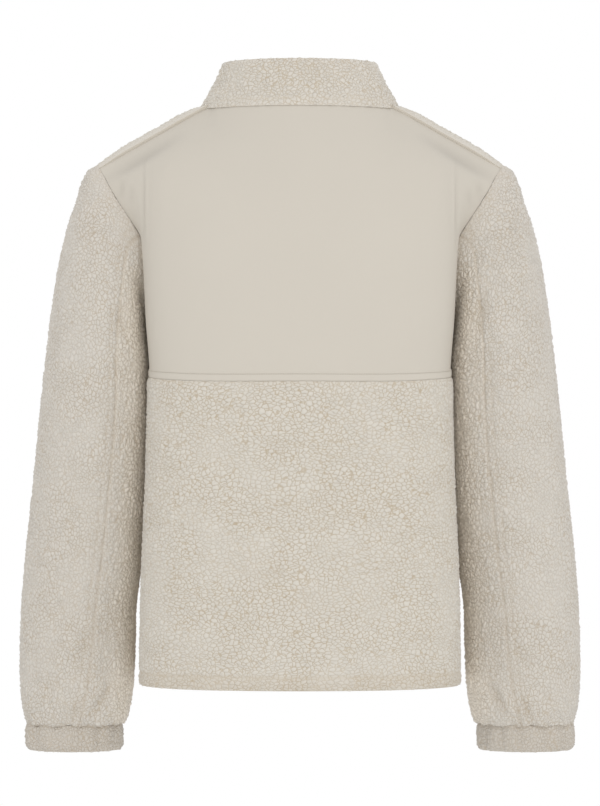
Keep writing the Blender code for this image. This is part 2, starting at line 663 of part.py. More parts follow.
def make_zip(front, collar, tape_material, metal):
    """The zip: two tapes behind the front edges, the closed chain between them, slider, box and pull."""
    inner_edge = zip_line(TAPE_INNER_EDGE, front, collar)
    outer_edge = zip_line(TAPE_HALF_WIDTH, front, collar)
    mirror = np.array((-1, 1, 1))
    tape_back = -TAPE_DEPTH - ZIP_TAPE
    strip("zip_tape_left", inner_edge, outer_edge, -TAPE_DEPTH, tape_back, tape_material)
    strip("zip_tape_right", outer_edge * mirror, inner_edge * mirror, -TAPE_DEPTH, tape_back, tape_material)
    centre = zip_line(0.0, front, collar)
    chain_foot = ZIP_BOX_Z + ZIP_BOX_LENGTH / 2 + 2 * SEAM_GAP
    chain_top = SLIDER_Z - SLIDER_LENGTH / 2 - 2 * SEAM_GAP
    between = centre[(centre[:, 2] > chain_foot + MM) & (centre[:, 2] < chain_top - MM)]
    run = np.concatenate([zip_point(centre, chain_foot)[None], between, zip_point(centre, chain_top)[None]])
    aside = np.array((CHAIN_HALF_WIDTH, 0.0, 0.0))
    strip("zip_chain", run - aside, run + aside, 0.0, CHAIN_HEIGHT, metal)

    slider_place = zip_frame(centre, SLIDER_Z)
    face_y = -(SLIDER_LIFT + SLIDER_DEPTH)
    body = block((SLIDER_WIDTH, SLIDER_DEPTH, SLIDER_LENGTH), (0, face_y + SLIDER_DEPTH / 2, 0))
    bail_y = face_y - BAIL_REACH
    ear_depth = EAR_OVERLAP + BAIL_REACH + BAIL_RADIUS
    ears = []
    for side in (-1, 1):
        centre_of_ear = (side * (BAIL_HALF_SPAN + EAR_WIDTH / 2), face_y + EAR_OVERLAP - ear_depth / 2, 0)
        ears.append(("UNION", block((EAR_WIDTH, ear_depth, EAR_HEIGHT), centre_of_ear)))
    bar = rod(BAIL_RADIUS, 2 * BAIL_HALF_SPAN + EAR_WIDTH, (0, bail_y, 0), BAIL_SIDES)
    slider = solid_from("zip_slider", body, ears + [("UNION", bar)], metal)
    slider.matrix_world = slider_place

    eye_length = 2 * BAIL_HALF_SPAN - 2 * SEAM_GAP
    eye = rod(PULL_EYE_RADIUS, eye_length, (0, 0, 0), EYE_SIDES)
    neck_top = -PULL_EYE_HOLE - PULL_NECK_OVERLAP
    neck = block((eye_length, PULL_THICKNESS, PULL_NECK_LENGTH), (0, 0, neck_top - PULL_NECK_LENGTH / 2))
    blade_top = neck_top - PULL_NECK_LENGTH + PULL_NECK_OVERLAP
    blade_length = PULL_LENGTH - PULL_NECK_LENGTH
    blade = block((PULL_WIDTH, PULL_THICKNESS, blade_length), (0, 0, blade_top - blade_length / 2))
    hole = rod(PULL_EYE_HOLE, 3 * eye_length, (0, 0, 0), EYE_SIDES)
    pull = solid_from("zip_pull", eye, [("UNION", neck), ("UNION", blade), ("DIFFERENCE", hole)], metal)
    pull.matrix_world = slider_place @ Matrix.Translation((0, bail_y, 0))

    box_place = zip_frame(centre, ZIP_BOX_Z)
    foot = block((2 * CHAIN_HALF_WIDTH, CHAIN_HEIGHT, ZIP_BOX_LENGTH), (0, -CHAIN_HEIGHT / 2, 0))
    box = make_object("zip_box", bpy.data.meshes.new("zip_box"), metal)
    foot.to_mesh(box.data)
    foot.free()
    box.matrix_world = box_place


def build_jacket():
    """All the jacket's pieces."""
    sherpa = plain_material("sherpa fleece", SHERPA_COLOUR, 0.95, 0.0)
    woven = plain_material("woven yoke", WOVEN_COLOUR, 0.8, 0.0)
    tape = plain_material("zip tape", WOVEN_COLOUR, 0.85, 0.0)
    metal = plain_material("zip metal", METAL_COLOUR, 0.35, 0.9)
    panels, half_back, front = body_panels()
    panels.update(sleeve_panels(half_back, front))
    collar_panels, collar = collar_panel()
    panels.update(collar_panels)
    panels.update(cuff_panels())
    normals = shared_normals(panels)
    level_rims(normals, panels)
    for name, panel in panels.items():
        wall(name, panel, normals[name], woven if name == "back_yoke" else sherpa)
    make_zip(front, collar, tape, metal)


for leftover in list(bpy.data.objects):
    bpy.data.objects.remove(leftover)
build_jacket()
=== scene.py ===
"""The looks of a sherpa jacket with a smooth woven back yoke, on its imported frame.

Metres, +Z up; the jacket faces -Y and the wearer's left is +X. The cloth's surfaces are worked out
from the same sections as the solids and then sampled finely, so each shell lies on its solid's form.
"""
import math

import bmesh
import bpy
import numpy as np
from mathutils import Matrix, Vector


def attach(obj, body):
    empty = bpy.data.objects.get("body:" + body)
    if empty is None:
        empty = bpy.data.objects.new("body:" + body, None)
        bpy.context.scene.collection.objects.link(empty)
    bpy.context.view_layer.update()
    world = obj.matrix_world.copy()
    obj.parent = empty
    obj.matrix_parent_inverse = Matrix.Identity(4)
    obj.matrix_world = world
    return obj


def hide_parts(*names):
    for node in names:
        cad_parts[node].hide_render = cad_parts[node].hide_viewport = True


MM = 0.001

# Camera: on the jacket's centre line, behind its back
CAMERA_PLACE = (0.0, 3.6, -0.331)
CAMERA_TURN_DEG = (90.0, 0.0, 180.0)
FOCAL_PIXELS = 3186.0
PHOTO_HEIGHT_PIXELS = 806.0
SENSOR = 36.0

# Studio: how strongly the white surroundings light the jacket, each light's place, size and watts, what
# the lights aim at, and the floor. A noise, here and below, is its scale and its detail.
WORLD_LIGHT = 0.90
STUDIO_LIGHTS = (
    ("key", (-0.5, 3.3, 0.1), 2.0, 21.5),
    ("fill", (1.4, -2.8, 0.6), 2.0, 18.0),
)
LIGHT_AIM = (0.0, 0.0, -0.3)
FLOOR_Z = -1.45
FLOOR_RADIUS = 3.0
FLOOR_SIDES = 96
FLOOR_TINTS = ((0.80, 0.80, 0.79), (0.84, 0.84, 0.83))
FLOOR_NOISE = (3.0, 4.0)
FLOOR_FINISH = {"Roughness": 0.9}

# How finely each kind of cloth is sampled, and every how many points its inner face keeps one. Points
# closer than the weld distance, or alike in so many decimals of a metre, are the same.
SPACINGS = {"body": 1.7 * MM, "collar": 1.4 * MM, "sleeve": 1.75 * MM, "cuff": 1.4 * MM, "woven": 1.7 * MM}
INNER_STEP = 4
TAPE_SPACING = 2.4 * MM
TAPE_COLUMNS = 4
WELD_DISTANCE = 0.01 * MM
POINT_DECIMALS = 5

# Cloth thicknesses, pile included: the fleece, its turned edges, its stitched grooves and its ends at the
# armhole, then the other cloths
SHERPA = 5.0 * MM
HEM_EDGE = 3.8 * MM
STITCH_GROOVE = 4.6 * MM
ARMHOLE_PILE = 1.7 * MM
WOVEN = 1.6 * MM
CUFF_CLOTH = 6.0 * MM
ZIP_TAPE = 1.0 * MM

# Neck seam and collar: half widths and half depths of two ovals. At the back, the collar's lower edge
# hangs over the neck seam by its lip, which sets in as the collar turns to face backwards.
NECK_HALF_WIDTH = 110 * MM
NECK_HALF_DEPTH = 80 * MM
NECK_CENTRE_Y = -5 * MM
NECK_FRONT_DROP = 50 * MM
NECK_SIDE_DEG = 68.0
COLLAR_TOP_HALF_WIDTH = 83 * MM
COLLAR_TOP_HALF_DEPTH = 62 * MM
COLLAR_TOP_CENTRE_Y = -3 * MM
COLLAR_TOP_BACK_Z = 52 * MM
COLLAR_TOP_FRONT_Z = 24 * MM
COLLAR_HOLLOW = 2.0 * MM
COLLAR_LIP = 3.5 * MM
LIP_FACING = (0.0, 0.4)

# The shoulder seam's outer end, on the left side
SHOULDER_TIP = np.array((224.5, 18.0, -68.0)) * MM

# Where the columns of a torso section lie, from its centre line (0) to its side edge (1)
NECK_STATION = 0.45
BACK_STATIONS = (0.0, NECK_STATION, 0.66, 0.84, 1.0)
FRONT_STATIONS = (0.0, 0.22, NECK_STATION, 0.72, 1.0)

# Sections of the back, in mm, from the hem up. The level counts sections: 3 is the yoke seam,
# 4 the armpit and 7 the shoulder seam.
BACK_COLUMNS = ("level", "z_centre", "z_edge", "y_centre", "x_neck", "y_neck",
                "x_blade", "y_blade", "x_ridge", "y_ridge", "x_edge", "y_edge")
BACK_SECTIONS = (
    (0.0, -645, -645, 131, 104, 118, 152, 92, 174.5, 52, 171, -12),
    (1.0, -530, -530, 126, 103, 114, 150, 89, 172.8, 51, 167, -12),
    (2.0, -415, -415, 122, 102, 111, 147, 88, 168.0, 51, 161, -12),
    (3.0, -307, -300, 124, 102, 113, 147, 91, 165.8, 54, 159, -12),
    (4.0, -238, -245, 127, 102, 117, 151, 96, 169.6, 60, 160, -8),
    (5.0, -152, -162, 124, 102, 113, 153, 94, 173.0, 68, 170, 45),
    (6.0, -60, -99, 104, 101, 84, 149, 77, 176.0, 62, 207, 37),
)
LEVEL_YOKE_SEAM = 3.0
LEVEL_ARMPIT = 4.0
LEVEL_SHOULDER = 7.0

# Sections of the front, in mm. The level 6.6 is the crest of the shoulder.
FRONT_COLUMNS = ("level", "z_centre", "z_neck", "z_outer", "z_edge", "y_centre", "x_mid", "y_mid",
                 "x_neck", "y_neck", "x_outer", "y_outer", "x_edge", "y_edge")
FRONT_SECTIONS = (
    (0.0, -645, -645, -645, -645, -148, 66, -143, 122, -117, 160, -68, 171, -12),
    (1.0, -530, -530, -530, -530, -146, 66, -141, 120, -115, 156, -66, 167, -12),
    (2.0, -415, -415, -415, -415, -143, 65, -138, 118, -112, 152, -64, 161, -12),
    (3.0, -304, -303, -301, -300, -142, 65, -137, 117, -110, 149, -62, 159, -12),
    (4.0, -240, -238, -242, -245, -141, 64, -136, 116, -108, 149, -60, 160, -8),
    (5.0, -168, -150, -157, -165, -130, 63, -127, 114, -106, 150, -88, 164, -58),
    (6.0, -105, -66, -78, -105, -107, 66, -97, 113, -66, 157, -56, 199, -42),
    (6.6, -65, -7.5, -29, -63.5, -92, 92, -70, 118, -22, 168, -16, 225, -5),
)

# Sections of the left sleeve, in mm, from the armhole down to the cuff seam. A section's outer
# and inner points give its width and slope. The turn moves the sleeve's two long seams round it.
SLEEVE_COLUMNS = ("x_outer", "z_outer", "x_inner", "z_inner", "y_centre", "half_depth", "turn_deg")
SLEEVE_SECTIONS = (
    (224.5, -64.5, 160.0, -245, 0, 55, 0),
    (238.5, -79.2, 175.5, -250, 0, 57, 0),
    (248.0, -104, 177.0, -259, -1, 63, 2),
    (260.0, -138, 175.5, -271, -3, 68, 4),
    (270.0, -185, 174.0, -285, -5, 72, 5),
    (277.0, -230, 173.8, -303, -8, 72, 6),
    (283.7, -280, 173.5, -335, -12, 70, 7),
    (291.4, -350, 174.5, -375, -17, 65, 7),
    (298.6, -420, 177.0, -430, -23, 60, 5),
    (306.8, -490, 182.0, -495, -29, 55, 4),
    (313.0, -560, 190.8, -560, -34, 51, 3),
    (315.4, -625, 192.8, -625, -38, 48, 0),
    (313.6, -670, 197.0, -670, -41, 45, -6),
    (310.0, -688, 201.5, -688, -42, 40, -9),
    (307.0, -698, 208.0, -698, -43, 35, -10),
)
SLEEVE_SIDES = 24
SLEEVE_RINGS = 21
ARMHOLE_RINGS = 6
HIND_SEAM = 7
FORE_SEAM = 17
SLEEVE_SQUARENESS = 2.2

# Soft folds of a sleeve: where each lies, how far it runs round and along, and its depth in mm.
# The angle runs from the outer edge (0) through the back (90) to the inner edge (180).
FOLD_COLUMNS = ("z", "angle_deg", "spread_deg", "half_height", "lean", "depth")
SLEEVE_FOLDS = (
    (-300, 122, 17, 52, 0.0, 4.0),
    (-250, 60, 30, 42, 0.6, 2.0),
    (-455, 150, 40, 26, -0.5, 3.0),
    (-610, 118, 34, 17, 0.9, 3.0),
    (-652, 60, 40, 15, -0.7, 2.6),
    (-420, 250, 46, 22, 0.4, 4.0),
    (-470, 262, 40, 20, -0.4, 3.0),
    (-640, 285, 42, 16, 0.6, 3.0),
)

# Cuffs: an elastic band of the same fleece, drawn up in small, uneven gathers that ease off towards its
# lower edge. Its rows are shares of its depth from the top down; its thicknesses go from the bottom up.
# The unevenness of gathers goes up and down a few times round the arm.
CUFF_TOP_Z = -698 * MM
CUFF_TUCK = 2.0 * MM
CUFF_BOTTOM_Z = -726.5 * MM
CUFF_ROWS = (0.0, 0.18, 0.5, 0.82, 1.0)
CUFF_THICKNESSES = (0.6, 1.0, 1.0, 1.0, 0.75)
CUFF_SIDES = 80
CUFF_GATHERS = 13
CUFF_GATHER_DEPTH = 1.3 * MM
CUFF_UNEVENNESS = 0.7
UNEVEN_WAVES = 3
CUFF_EASE = 0.35
CUFF_BARREL = 0.8 * MM

# Zip: the gap between the fronts, the tapes behind it, and the chain of teeth. A crease of 0 rounds a
# tooth off and 1 keeps it square.
ZIP_HALF_GAP = 5.2 * MM
TAPE_HALF_WIDTH = 15 * MM
TAPE_INNER_EDGE = 0.4 * MM
TAPE_DEPTH = 0.6 * MM
CHAIN_HEIGHT = 2.4 * MM
CHAIN_FOOT_Z = -631.9 * MM
CHAIN_TOP_Z = 1.4 * MM
TOOTH_SIZE = (3.7 * MM, 2.2 * MM, 1.55 * MM)
TOOTH_ASIDE = 1.05 * MM
TOOTH_PITCH = 2.6 * MM
TOOTH_CREASE = 0.55

# How much thinner the front's pile gets towards the armhole over the shoulder, over what width, and
# between what heights that sets in
SHOULDER_TAPER = 2.6 * MM
TAPER_WIDTH = 13.0 * MM
TAPER_HEIGHTS = (-0.20, -0.10)

# The yoke's folded lower edge: its depth, how far it stands out, how its two edges are rounded, how finely
# it is sampled, and its row of stitches in a shallow groove. A stitch is a bead as long as its share of
# the pitch. Seams press woven cloth in less than fleece.
BAND_DEPTH = 9.0 * MM
BAND_RISE = 1.2 * MM
BAND_TOP_ROUND = 0.5 * MM
BAND_EDGE_ROUND = 0.9 * MM
BAND_FINE_STRETCH = 14.0 * MM
BAND_FINE_ROWS = 20
STITCH_LINE = 7.9 * MM
STITCH_GROOVE_DEPTH = 0.4 * MM
STITCH_GROOVE_WIDTH = 0.7 * MM
STITCH_PITCH = 2.6 * MM
STITCH_THREAD = 0.36 * MM
STITCH_SHARE = 0.8
STITCH_BEAD = {"Segments": 8, "Rings": 5, "Radius": 1.0}
STITCH_END_POINTS = 2
WOVEN_SEAM_SHARE = 0.5

# Gathers at the sleeve's end, above the cuff: their depth, how far up they reach and how fast they fade,
# how uneven they are, and how many each piece has
END_GATHER_DEPTH = 0.8 * MM
END_GATHER_HEIGHT = 26 * MM
END_GATHER_FADE = 1.5
END_GATHER_UNEVENNESS = 0.8
END_GATHERS = {"sleeve_outer": 7, "sleeve_under": 6}

# Where the grids are sampled, as in the solids
HEM_LEVELS = (0.0, 0.03, 0.10, 0.13, 0.16)
HEM_STITCH_LEVEL = 0.13
YOKE_EDGE_LEVELS = (3.0, 3.13, 3.17, 3.55)
LOWER_LEVELS = np.concatenate([HEM_LEVELS, np.linspace(0.5, LEVEL_YOKE_SEAM, 8)])
ARMHOLE_LEVELS = np.linspace(LEVEL_ARMPIT, LEVEL_SHOULDER, SLEEVE_SIDES // 2 + 1)
YOKE_LEVELS = np.concatenate([YOKE_EDGE_LEVELS, ARMHOLE_LEVELS])
ALL_LEVELS = np.concatenate([LOWER_LEVELS, YOKE_LEVELS[1:]])
SHOULDER_STATIONS = np.linspace(NECK_STATION, 1.0, 9)
NECK_STATIONS = np.linspace(0.0, NECK_STATION, 7)
HALF_STATIONS = np.concatenate([NECK_STATIONS, SHOULDER_STATIONS[1:]])
COLLAR_HEIGHTS = (0.0, 0.12, 0.2, 0.45, 0.7, 0.9, 1.0)

# Creases, in mm: a soft trough (depth above 0) or ridge (below 0) along a line, as seen from behind
# (face 1) or from the front (face -1). Each is (face, x1, z1, x2, z2, width, depth). A crease fades towards
# both ends, runs out a little past them, and sets in where the cloth turns to the side it is seen from.
CREASE_FADE = 1.5
CREASE_RUN_OUT = 0.1
CREASE_FACING = (0.02, 0.3)
YOKE_CREASES = (
    (1, 170.6, -54, 170.0, -158, 2.0, -0.9),
    (1, 174.4, -54, 173.6, -158, 2.6, 1.3),
    (1, -170.6, -58, -170.0, -162, 2.0, -0.9),
    (1, -174.4, -58, -173.6, -162, 2.6, 1.3),
    (1, 199, -80, 203, -104, 5.0, 1.6),
    (1, 188, -88, 190, -112, 4.0, 1.0),
    (1, -200, -82, -204, -106, 5.0, 1.5),
    (1, -189, -90, -192, -116, 4.5, 1.1),
    (1, 222, -82, 132, -32, 7.0, 3.4),
    (1, -222, -82, -134, -32, 7.0, 3.4),
)
BODY_CREASES = (
    (-1, 150, -120, 118, -210, 12.0, 2.0),
    (-1, -152, -124, -121, -206, 12.0, 2.2),
)
SLEEVE_CREASES = (
    (1, 198, -212, 196, -262, 6.0, 2.0),
    (1, -198, -208, -196, -266, 6.0, 2.2),
    (1, 228, -108, 242, -170, 9.0, 1.4),
    (1, -230, -104, -243, -164, 9.0, 1.2),
    (1, 232, -590, 256, -626, 7.0, 1.6),
    (1, -236, -600, -262, -630, 7.0, 1.8),
    (1, 210, -646, 238, -688, 5.0, 3.6),
    (1, -208, -642, -236, -686, 5.0, 3.6),
    (1, 246, -658, 256, -692, 4.0, 2.4),
    (1, -250, -660, -260, -693, 4.0, 2.4),
    (1, 268, -640, 296, -668, 7.0, 1.4),
    (1, -262, -646, -292, -676, 7.0, 1.2),
    (-1, 205, -200, 232, -262, 8.0, 2.0),
    (-1, -207, -206, -234, -258, 8.0, 2.2),
    (-1, 214, -420, 262, -396, 8.0, 2.4),
    (-1, -212, -424, -258, -398, 8.0, 2.2),
)
CREASES = {"woven": YOKE_CREASES, "body": BODY_CREASES, "sleeve": SLEEVE_CREASES}

# Sewn lines, in mm: the edge that a line runs beside, how far in, its half width, how far it stands out
# (below 0: a groove), and how far it flattens the pile and shows the tan backing, from 0 to 1. First and
# last are a left piece's edges; a right piece has them the other way round. SEAM_LINE has the same values
# for each seam, without its edge. Lines along the top and the bottom go flat beside the side edges.
SEAM_LINE = (0.0, 1.8, -0.35, 0.3, 0.10)
SEAM_FADE = 14 * MM
SEWN_LINES = {
    "back_lower": (("top", 0.0, 3.4, -1.7, 0.2, 0.1), ("bottom", 14.5, 1.7, -0.6, 0.5, 0.3),
                   ("bottom", 5.0, 9.0, 0.0, 0.15, 0.22)),
    "front": (("bottom", 14.5, 1.7, -0.6, 0.5, 0.3), ("bottom", 5.0, 9.0, 0.0, 0.15, 0.22),
              ("top", 0.0, 15.0, 0.0, 0.75, 0.05)),
    "collar": (("bottom", 6.8, 1.3, -0.4, 0.4, 0.2),),
    "sleeve": (("top", 0.0, 13.0, 0.0, 0.45, 0.12), ("bottom", 0.0, 3.0, -0.5, 0.3, 0.3),
               ("first", 0.0, 1.9, -1.0, 0.25, 0.26), ("last", 0.0, 1.9, -1.0, 0.25, 0.26)),
    "sleeve_outer": (("last", 8.5, 1.5, -0.6, 0.2, 0.18),),
    "cuff": (("top", 0.0, 2.2, -0.4, 0.3, 0.3),),
}

# Looks of the fleece: a curl's size across and along in mm, how far it stands out in mm, how strong the
# cracks between curls are, the bump's strength, and the colours of curls and cracks. The cracks' darker
# colour is partly the tan roots of the pile and partly painted shade in the hollows between the curls.
FLEECE_COLUMNS = ("across", "along", "height", "crack", "bump", "top_colour", "crack_colour")
FLEECE_KINDS = {
    "body": (5.3, 3.8, 1.60, 0.88, 0.46, (0.686, 0.646, 0.578), (0.47, 0.385, 0.275)),
    "collar": (4.6, 4.0, 1.80, 0.80, 0.46, (0.692, 0.651, 0.584), (0.47, 0.385, 0.275)),
    "sleeve": (3.8, 4.9, 1.80, 0.76, 0.50, (0.680, 0.640, 0.580), (0.45, 0.37, 0.275)),
    "cuff": (3.8, 4.6, 1.30, 0.80, 0.50, (0.606, 0.560, 0.497), (0.44, 0.365, 0.275)),
}

# The pattern of curls, with scales in curls. Two plain noises bend it: each one's scale and how far it
# pushes. Then the noise of the frizz on the curls, and, as shares of a curl, how wide the cracks are and
# how far in from them the shading and the raised pile are rounded.
CURL_BENDS = ((0.11, 3.0), (0.9, 0.7))
BEND_DETAIL = 1.0
FRIZZ_NOISE = (3.4, 1.5)
CRACK_WIDTH = 0.115
CURL_ROUND = 0.26
CURL_DOME = 0.45

# The raised pile, in its own heights: what frizz and larger lumps add, and how deep it is sunk in the cloth
PILE_FRIZZ = 0.5
PILE_LUMPS = 0.5
PILE_SINK = 1.2
LUMP_NOISE = (70.0, 2.0)

# The fleece's colour: patches where the cracks are fainter, clouds and strands of tan, painted shade in the
# folds, and a painted warm light that lightens the sleeves' inner flanks where they face the body
PATCH_NOISE = (20.0, 2.0)
PATCH_RANGE = (0.34, 0.60)
PATCH_LEAST = 0.62
CLOUD_NOISE = (26.0, 3.0)
CLOUD_SHARE = 0.25
STRAND_SHARE = 0.2
# Painted shade in the folds, full at this crease depth; painted warm light on the sleeves' inner flanks
FOLD_DEPTH_FOR_FULL_SHADE = 4.0 * MM
FLEECE_FOLD_SHADE = 0.30
FLANK_PAINTED_LIGHT_COLOUR = (0.84, 0.77, 0.67)
FLANK_PAINTED_LIGHT_FACING = (0.3, 0.95)
FLEECE_FRIZZ_HEIGHT = 0.6
FLEECE_BUMP = 1.2 * MM
FLEECE_FINISH = {"Roughness": 0.95, "Specular IOR Level": 0.15, "Sheen Weight": 0.2, "Sheen Roughness": 0.6}

# Woven and knitted cloths: colour, the weave's pitch in mm and the bump's strength. Uneven yarns and soft
# clouds darken all of them a little in places, and painted shade darkens them in the folds.
WOVEN_CLOTHS = {
    "woven yoke": ((0.632, 0.587, 0.515), 0.8, 0.2),
    "knit backing": ((0.62, 0.57, 0.49), 1.6, 0.5),
    "thread": ((0.53, 0.485, 0.415), 0.4, 0.3),
    "zip tape": ((0.60, 0.55, 0.475), 0.9, 0.5),
}
WOVEN_CLOUD_NOISE = (9.0, 3.0)
YARN_NOISE = (900.0, 1.0)
WOVEN_DARKER = 0.93
WOVEN_FOLD_SHADE = 0.14
WOVEN_BUMP = 0.1 * MM
WOVEN_FINISH = {"Roughness": 0.85, "Specular IOR Level": 0.2, "Sheen Weight": 0.1}

# Hard finishes: colour, roughness, metal or not, and the grain of the polish. The polish makes the
# roughness a little lower and higher in places, and the colour a little darker.
HARD_FINISHES = {
    "zip teeth": ((0.62, 0.57, 0.49), 0.4, 0.0, 300.0),
    "zip metal": ((0.60, 0.58, 0.54), 0.32, 1.0, 220.0),
}
POLISH_DETAIL = 3.0
POLISH_LOWER = 0.08
POLISH_HIGHER = 0.1
POLISH_DARKER = 0.88

# Socket types of node groups
NUMBER = "NodeSocketFloat"
VECTOR = "NodeSocketVector"
COLOUR = "NodeSocketColor"
GEOMETRY = "NodeSocketGeometry"


def table(columns, rows):
    """A table's columns by name, as arrays."""
    values = np.array(rows, dtype=float)
    return {name: values[:, index] for index, name in enumerate(columns)}


def smooth_through(knots, values, at):
    """A smooth curve through values, given at rising knots and read at the places in at."""
    knots = np.asarray(knots, dtype=float)
    values = np.asarray(values, dtype=float)
    at = np.asarray(at, dtype=float)
    slopes = np.empty_like(values)
    spans = (knots[2:] - knots[:-2]).reshape((-1,) + (1,) * (values.ndim - 1))
    slopes[1:-1] = (values[2:] - values[:-2]) / spans
    slopes[0] = (values[1] - values[0]) / (knots[1] - knots[0])
    slopes[-1] = (values[-1] - values[-2]) / (knots[-1] - knots[-2])
    left = np.clip(np.searchsorted(knots, at, side="right") - 1, 0, len(knots) - 2)
    step = knots[left + 1] - knots[left]
    shape = (-1,) + (1,) * (values.ndim - 1)
    part = ((at - knots[left]) / step).reshape(shape)
    step = step.reshape(shape)
    square = part * part
    cube = square * part
    return ((2 * cube - 3 * square + 1) * values[left]
            + (cube - 2 * square + part) * step * slopes[left]
            + (3 * square - 2 * cube) * values[left + 1]
            + (cube - square) * step * slopes[left + 1])


def neck_point(angle_deg):
    """A point of the neck seam. The angle runs from the centre back (0) to the centre front (180)."""
    angle = math.radians(angle_deg)
    drop = max(0.0, angle - math.pi / 2)
    z = -NECK_FRONT_DROP * (1 - math.cos(2 * drop)) / 2
    return np.array((NECK_HALF_WIDTH * math.sin(angle), NECK_CENTRE_Y + NECK_HALF_DEPTH * math.cos(angle), z))


def collar_top_point(angle_deg):
    """A point of the collar's top edge, above neck_point at the same angle."""
    angle = math.radians(angle_deg)
    drop = max(0.0, angle - math.pi / 2)
    fall = (COLLAR_TOP_BACK_Z - COLLAR_TOP_FRONT_Z) * (1 - math.cos(2 * drop)) / 2
    return np.array((COLLAR_TOP_HALF_WIDTH * math.sin(angle),
                     COLLAR_TOP_CENTRE_Y + COLLAR_TOP_HALF_DEPTH * math.cos(angle),
                     COLLAR_TOP_BACK_Z - fall))


def shoulder_point(station):
    """A point of the left shoulder seam, from the neck to the shoulder's tip."""
    part = (station - NECK_STATION) / (1 - NECK_STATION)
    return (1 - part) * neck_point(NECK_SIDE_DEG) + part * SHOULDER_TIP


def top_point(station, centre_angle):
    """A point of a panel's top edge: along the neck from its centre, then along the shoulder."""
    if station >= NECK_STATION:
        return shoulder_point(station)
    part = station / NECK_STATION
    return neck_point(centre_angle + part * (NECK_SIDE_DEG - centre_angle))


def torso_rows(sections, xs, ys, zs, stations, at):
    """Points of each section at the stations in at, mirrored so that the centre is smooth.

    zs gives the columns of height by station.
    """
    height_stations = np.array(list(zs))
    height_knots = np.concatenate([-height_stations[:0:-1], height_stations])
    rows = []
    for index in range(len(sections["level"])):
        section = {name: values[index] for name, values in sections.items()}
        x = np.array([section[name] if name else 0.0 for name in xs])
        y = np.array([section[name] for name in ys])
        heights = np.array([section[name] for name in zs.values()])
        z = smooth_through(height_knots, np.concatenate([heights[:0:-1], heights]), stations)
        points = np.stack([x, y, z], axis=1) * MM
        mirrored = points[:0:-1] * (-1, 1, 1)
        knots = np.concatenate([-np.array(stations)[:0:-1], stations])
        rows.append(smooth_through(knots, np.concatenate([mirrored, points]), at))
    return np.array(rows)


def back_surface(levels, at):
    """The left half of the back: a row of points for each level."""
    sections = table(BACK_COLUMNS, BACK_SECTIONS)
    heights = {0.0: "z_centre", NECK_STATION: "z_centre", 1.0: "z_edge"}
    rows = torso_rows(sections, (None, "x_neck", "x_blade", "x_ridge", "x_edge"),
                      ("y_centre", "y_neck", "y_blade", "y_ridge", "y_edge"), heights, BACK_STATIONS, at)
    top = np.array([top_point(station, 0.0) for station in at])
    knots = np.append(sections["level"], LEVEL_SHOULDER)
    return smooth_through(knots, np.concatenate([rows, top[None]]), levels)


def front_surface(levels, at):
    """The left half of the front: a row of points for each level."""
    sections = table(FRONT_COLUMNS, FRONT_SECTIONS)
    heights = {0.0: "z_centre", NECK_STATION: "z_neck", FRONT_STATIONS[3]: "z_outer", 1.0: "z_edge"}
    rows = torso_rows(sections, (None, "x_mid", "x_neck", "x_outer", "x_edge"),
                      ("y_centre", "y_mid", "y_neck", "y_outer", "y_edge"), heights, FRONT_STATIONS, at)
    top = np.array([top_point(station, 180.0) for station in at])
    knots = np.append(sections["level"], LEVEL_SHOULDER)
    return smooth_through(knots, np.concatenate([rows, top[None]]), levels)


def fold_offset(z, angle_deg):
    """How far the sleeve's folds push a point in, at a height and an angle round the sleeve."""
    folds = table(FOLD_COLUMNS, SLEEVE_FOLDS)
    turn = angle_deg - folds["angle_deg"]
    height = z / MM - folds["z"] - folds["lean"] * turn
    return MM * float(np.sum(folds["depth"] * np.exp(-(turn / folds["spread_deg"]) ** 2
                                                     - (height / folds["half_height"]) ** 2)))


def sleeve_ring(section, side):
    """One point of a sleeve's section: a slightly squared oval between its outer and inner points."""
    outer = np.array((section["x_outer"], section["y_centre"], section["z_outer"])) * MM
    inner = np.array((section["x_inner"], section["y_centre"], section["z_inner"])) * MM
    angle_deg = 360.0 * side / SLEEVE_SIDES
    seam_turn = section["turn_deg"] * math.sin(math.radians(min(angle_deg, 360 - angle_deg)))
    angle = math.radians(angle_deg + seam_turn * (1 if angle_deg <= 180 else -1))
    power = 2 / SLEEVE_SQUARENESS
    across = math.copysign(abs(math.cos(angle)) ** power, math.cos(angle))
    deep = math.copysign(abs(math.sin(angle)) ** power, math.sin(angle))
    centre = (outer + inner) / 2
    arm = np.array((across, deep * section["half_depth"] * MM))
    point = centre + arm[0] * (outer - inner) / 2 + arm[1] * np.array((0.0, 1.0, 0.0))
    away = point - centre
    away /= np.linalg.norm(away)
    return point - away * fold_offset(point[2], math.degrees(angle) % 360)


def sleeve_surface(armhole):
    """The left sleeve from its armhole's points down to the cuff seam, a row for each ring."""
    sections = table(SLEEVE_COLUMNS, SLEEVE_SECTIONS)
    knots = np.arange(len(SLEEVE_SECTIONS), dtype=float)
    places = np.linspace(0, knots[-1], SLEEVE_RINGS + 1)
    values = smooth_through(knots, np.stack([sections[name] for name in SLEEVE_COLUMNS], axis=1), places)
    rings = []
    for row in values:
        section = dict(zip(SLEEVE_COLUMNS, row))
        rings.append([sleeve_ring(section, side) for side in range(SLEEVE_SIDES + 1)])
    rings = np.array(rings)
    shift = armhole - rings[0]
    for index in range(ARMHOLE_RINGS):
        part = index / ARMHOLE_RINGS
        fade = 1 - part * part * (3 - 2 * part)
        rings[index] += fade * shift
    return rings


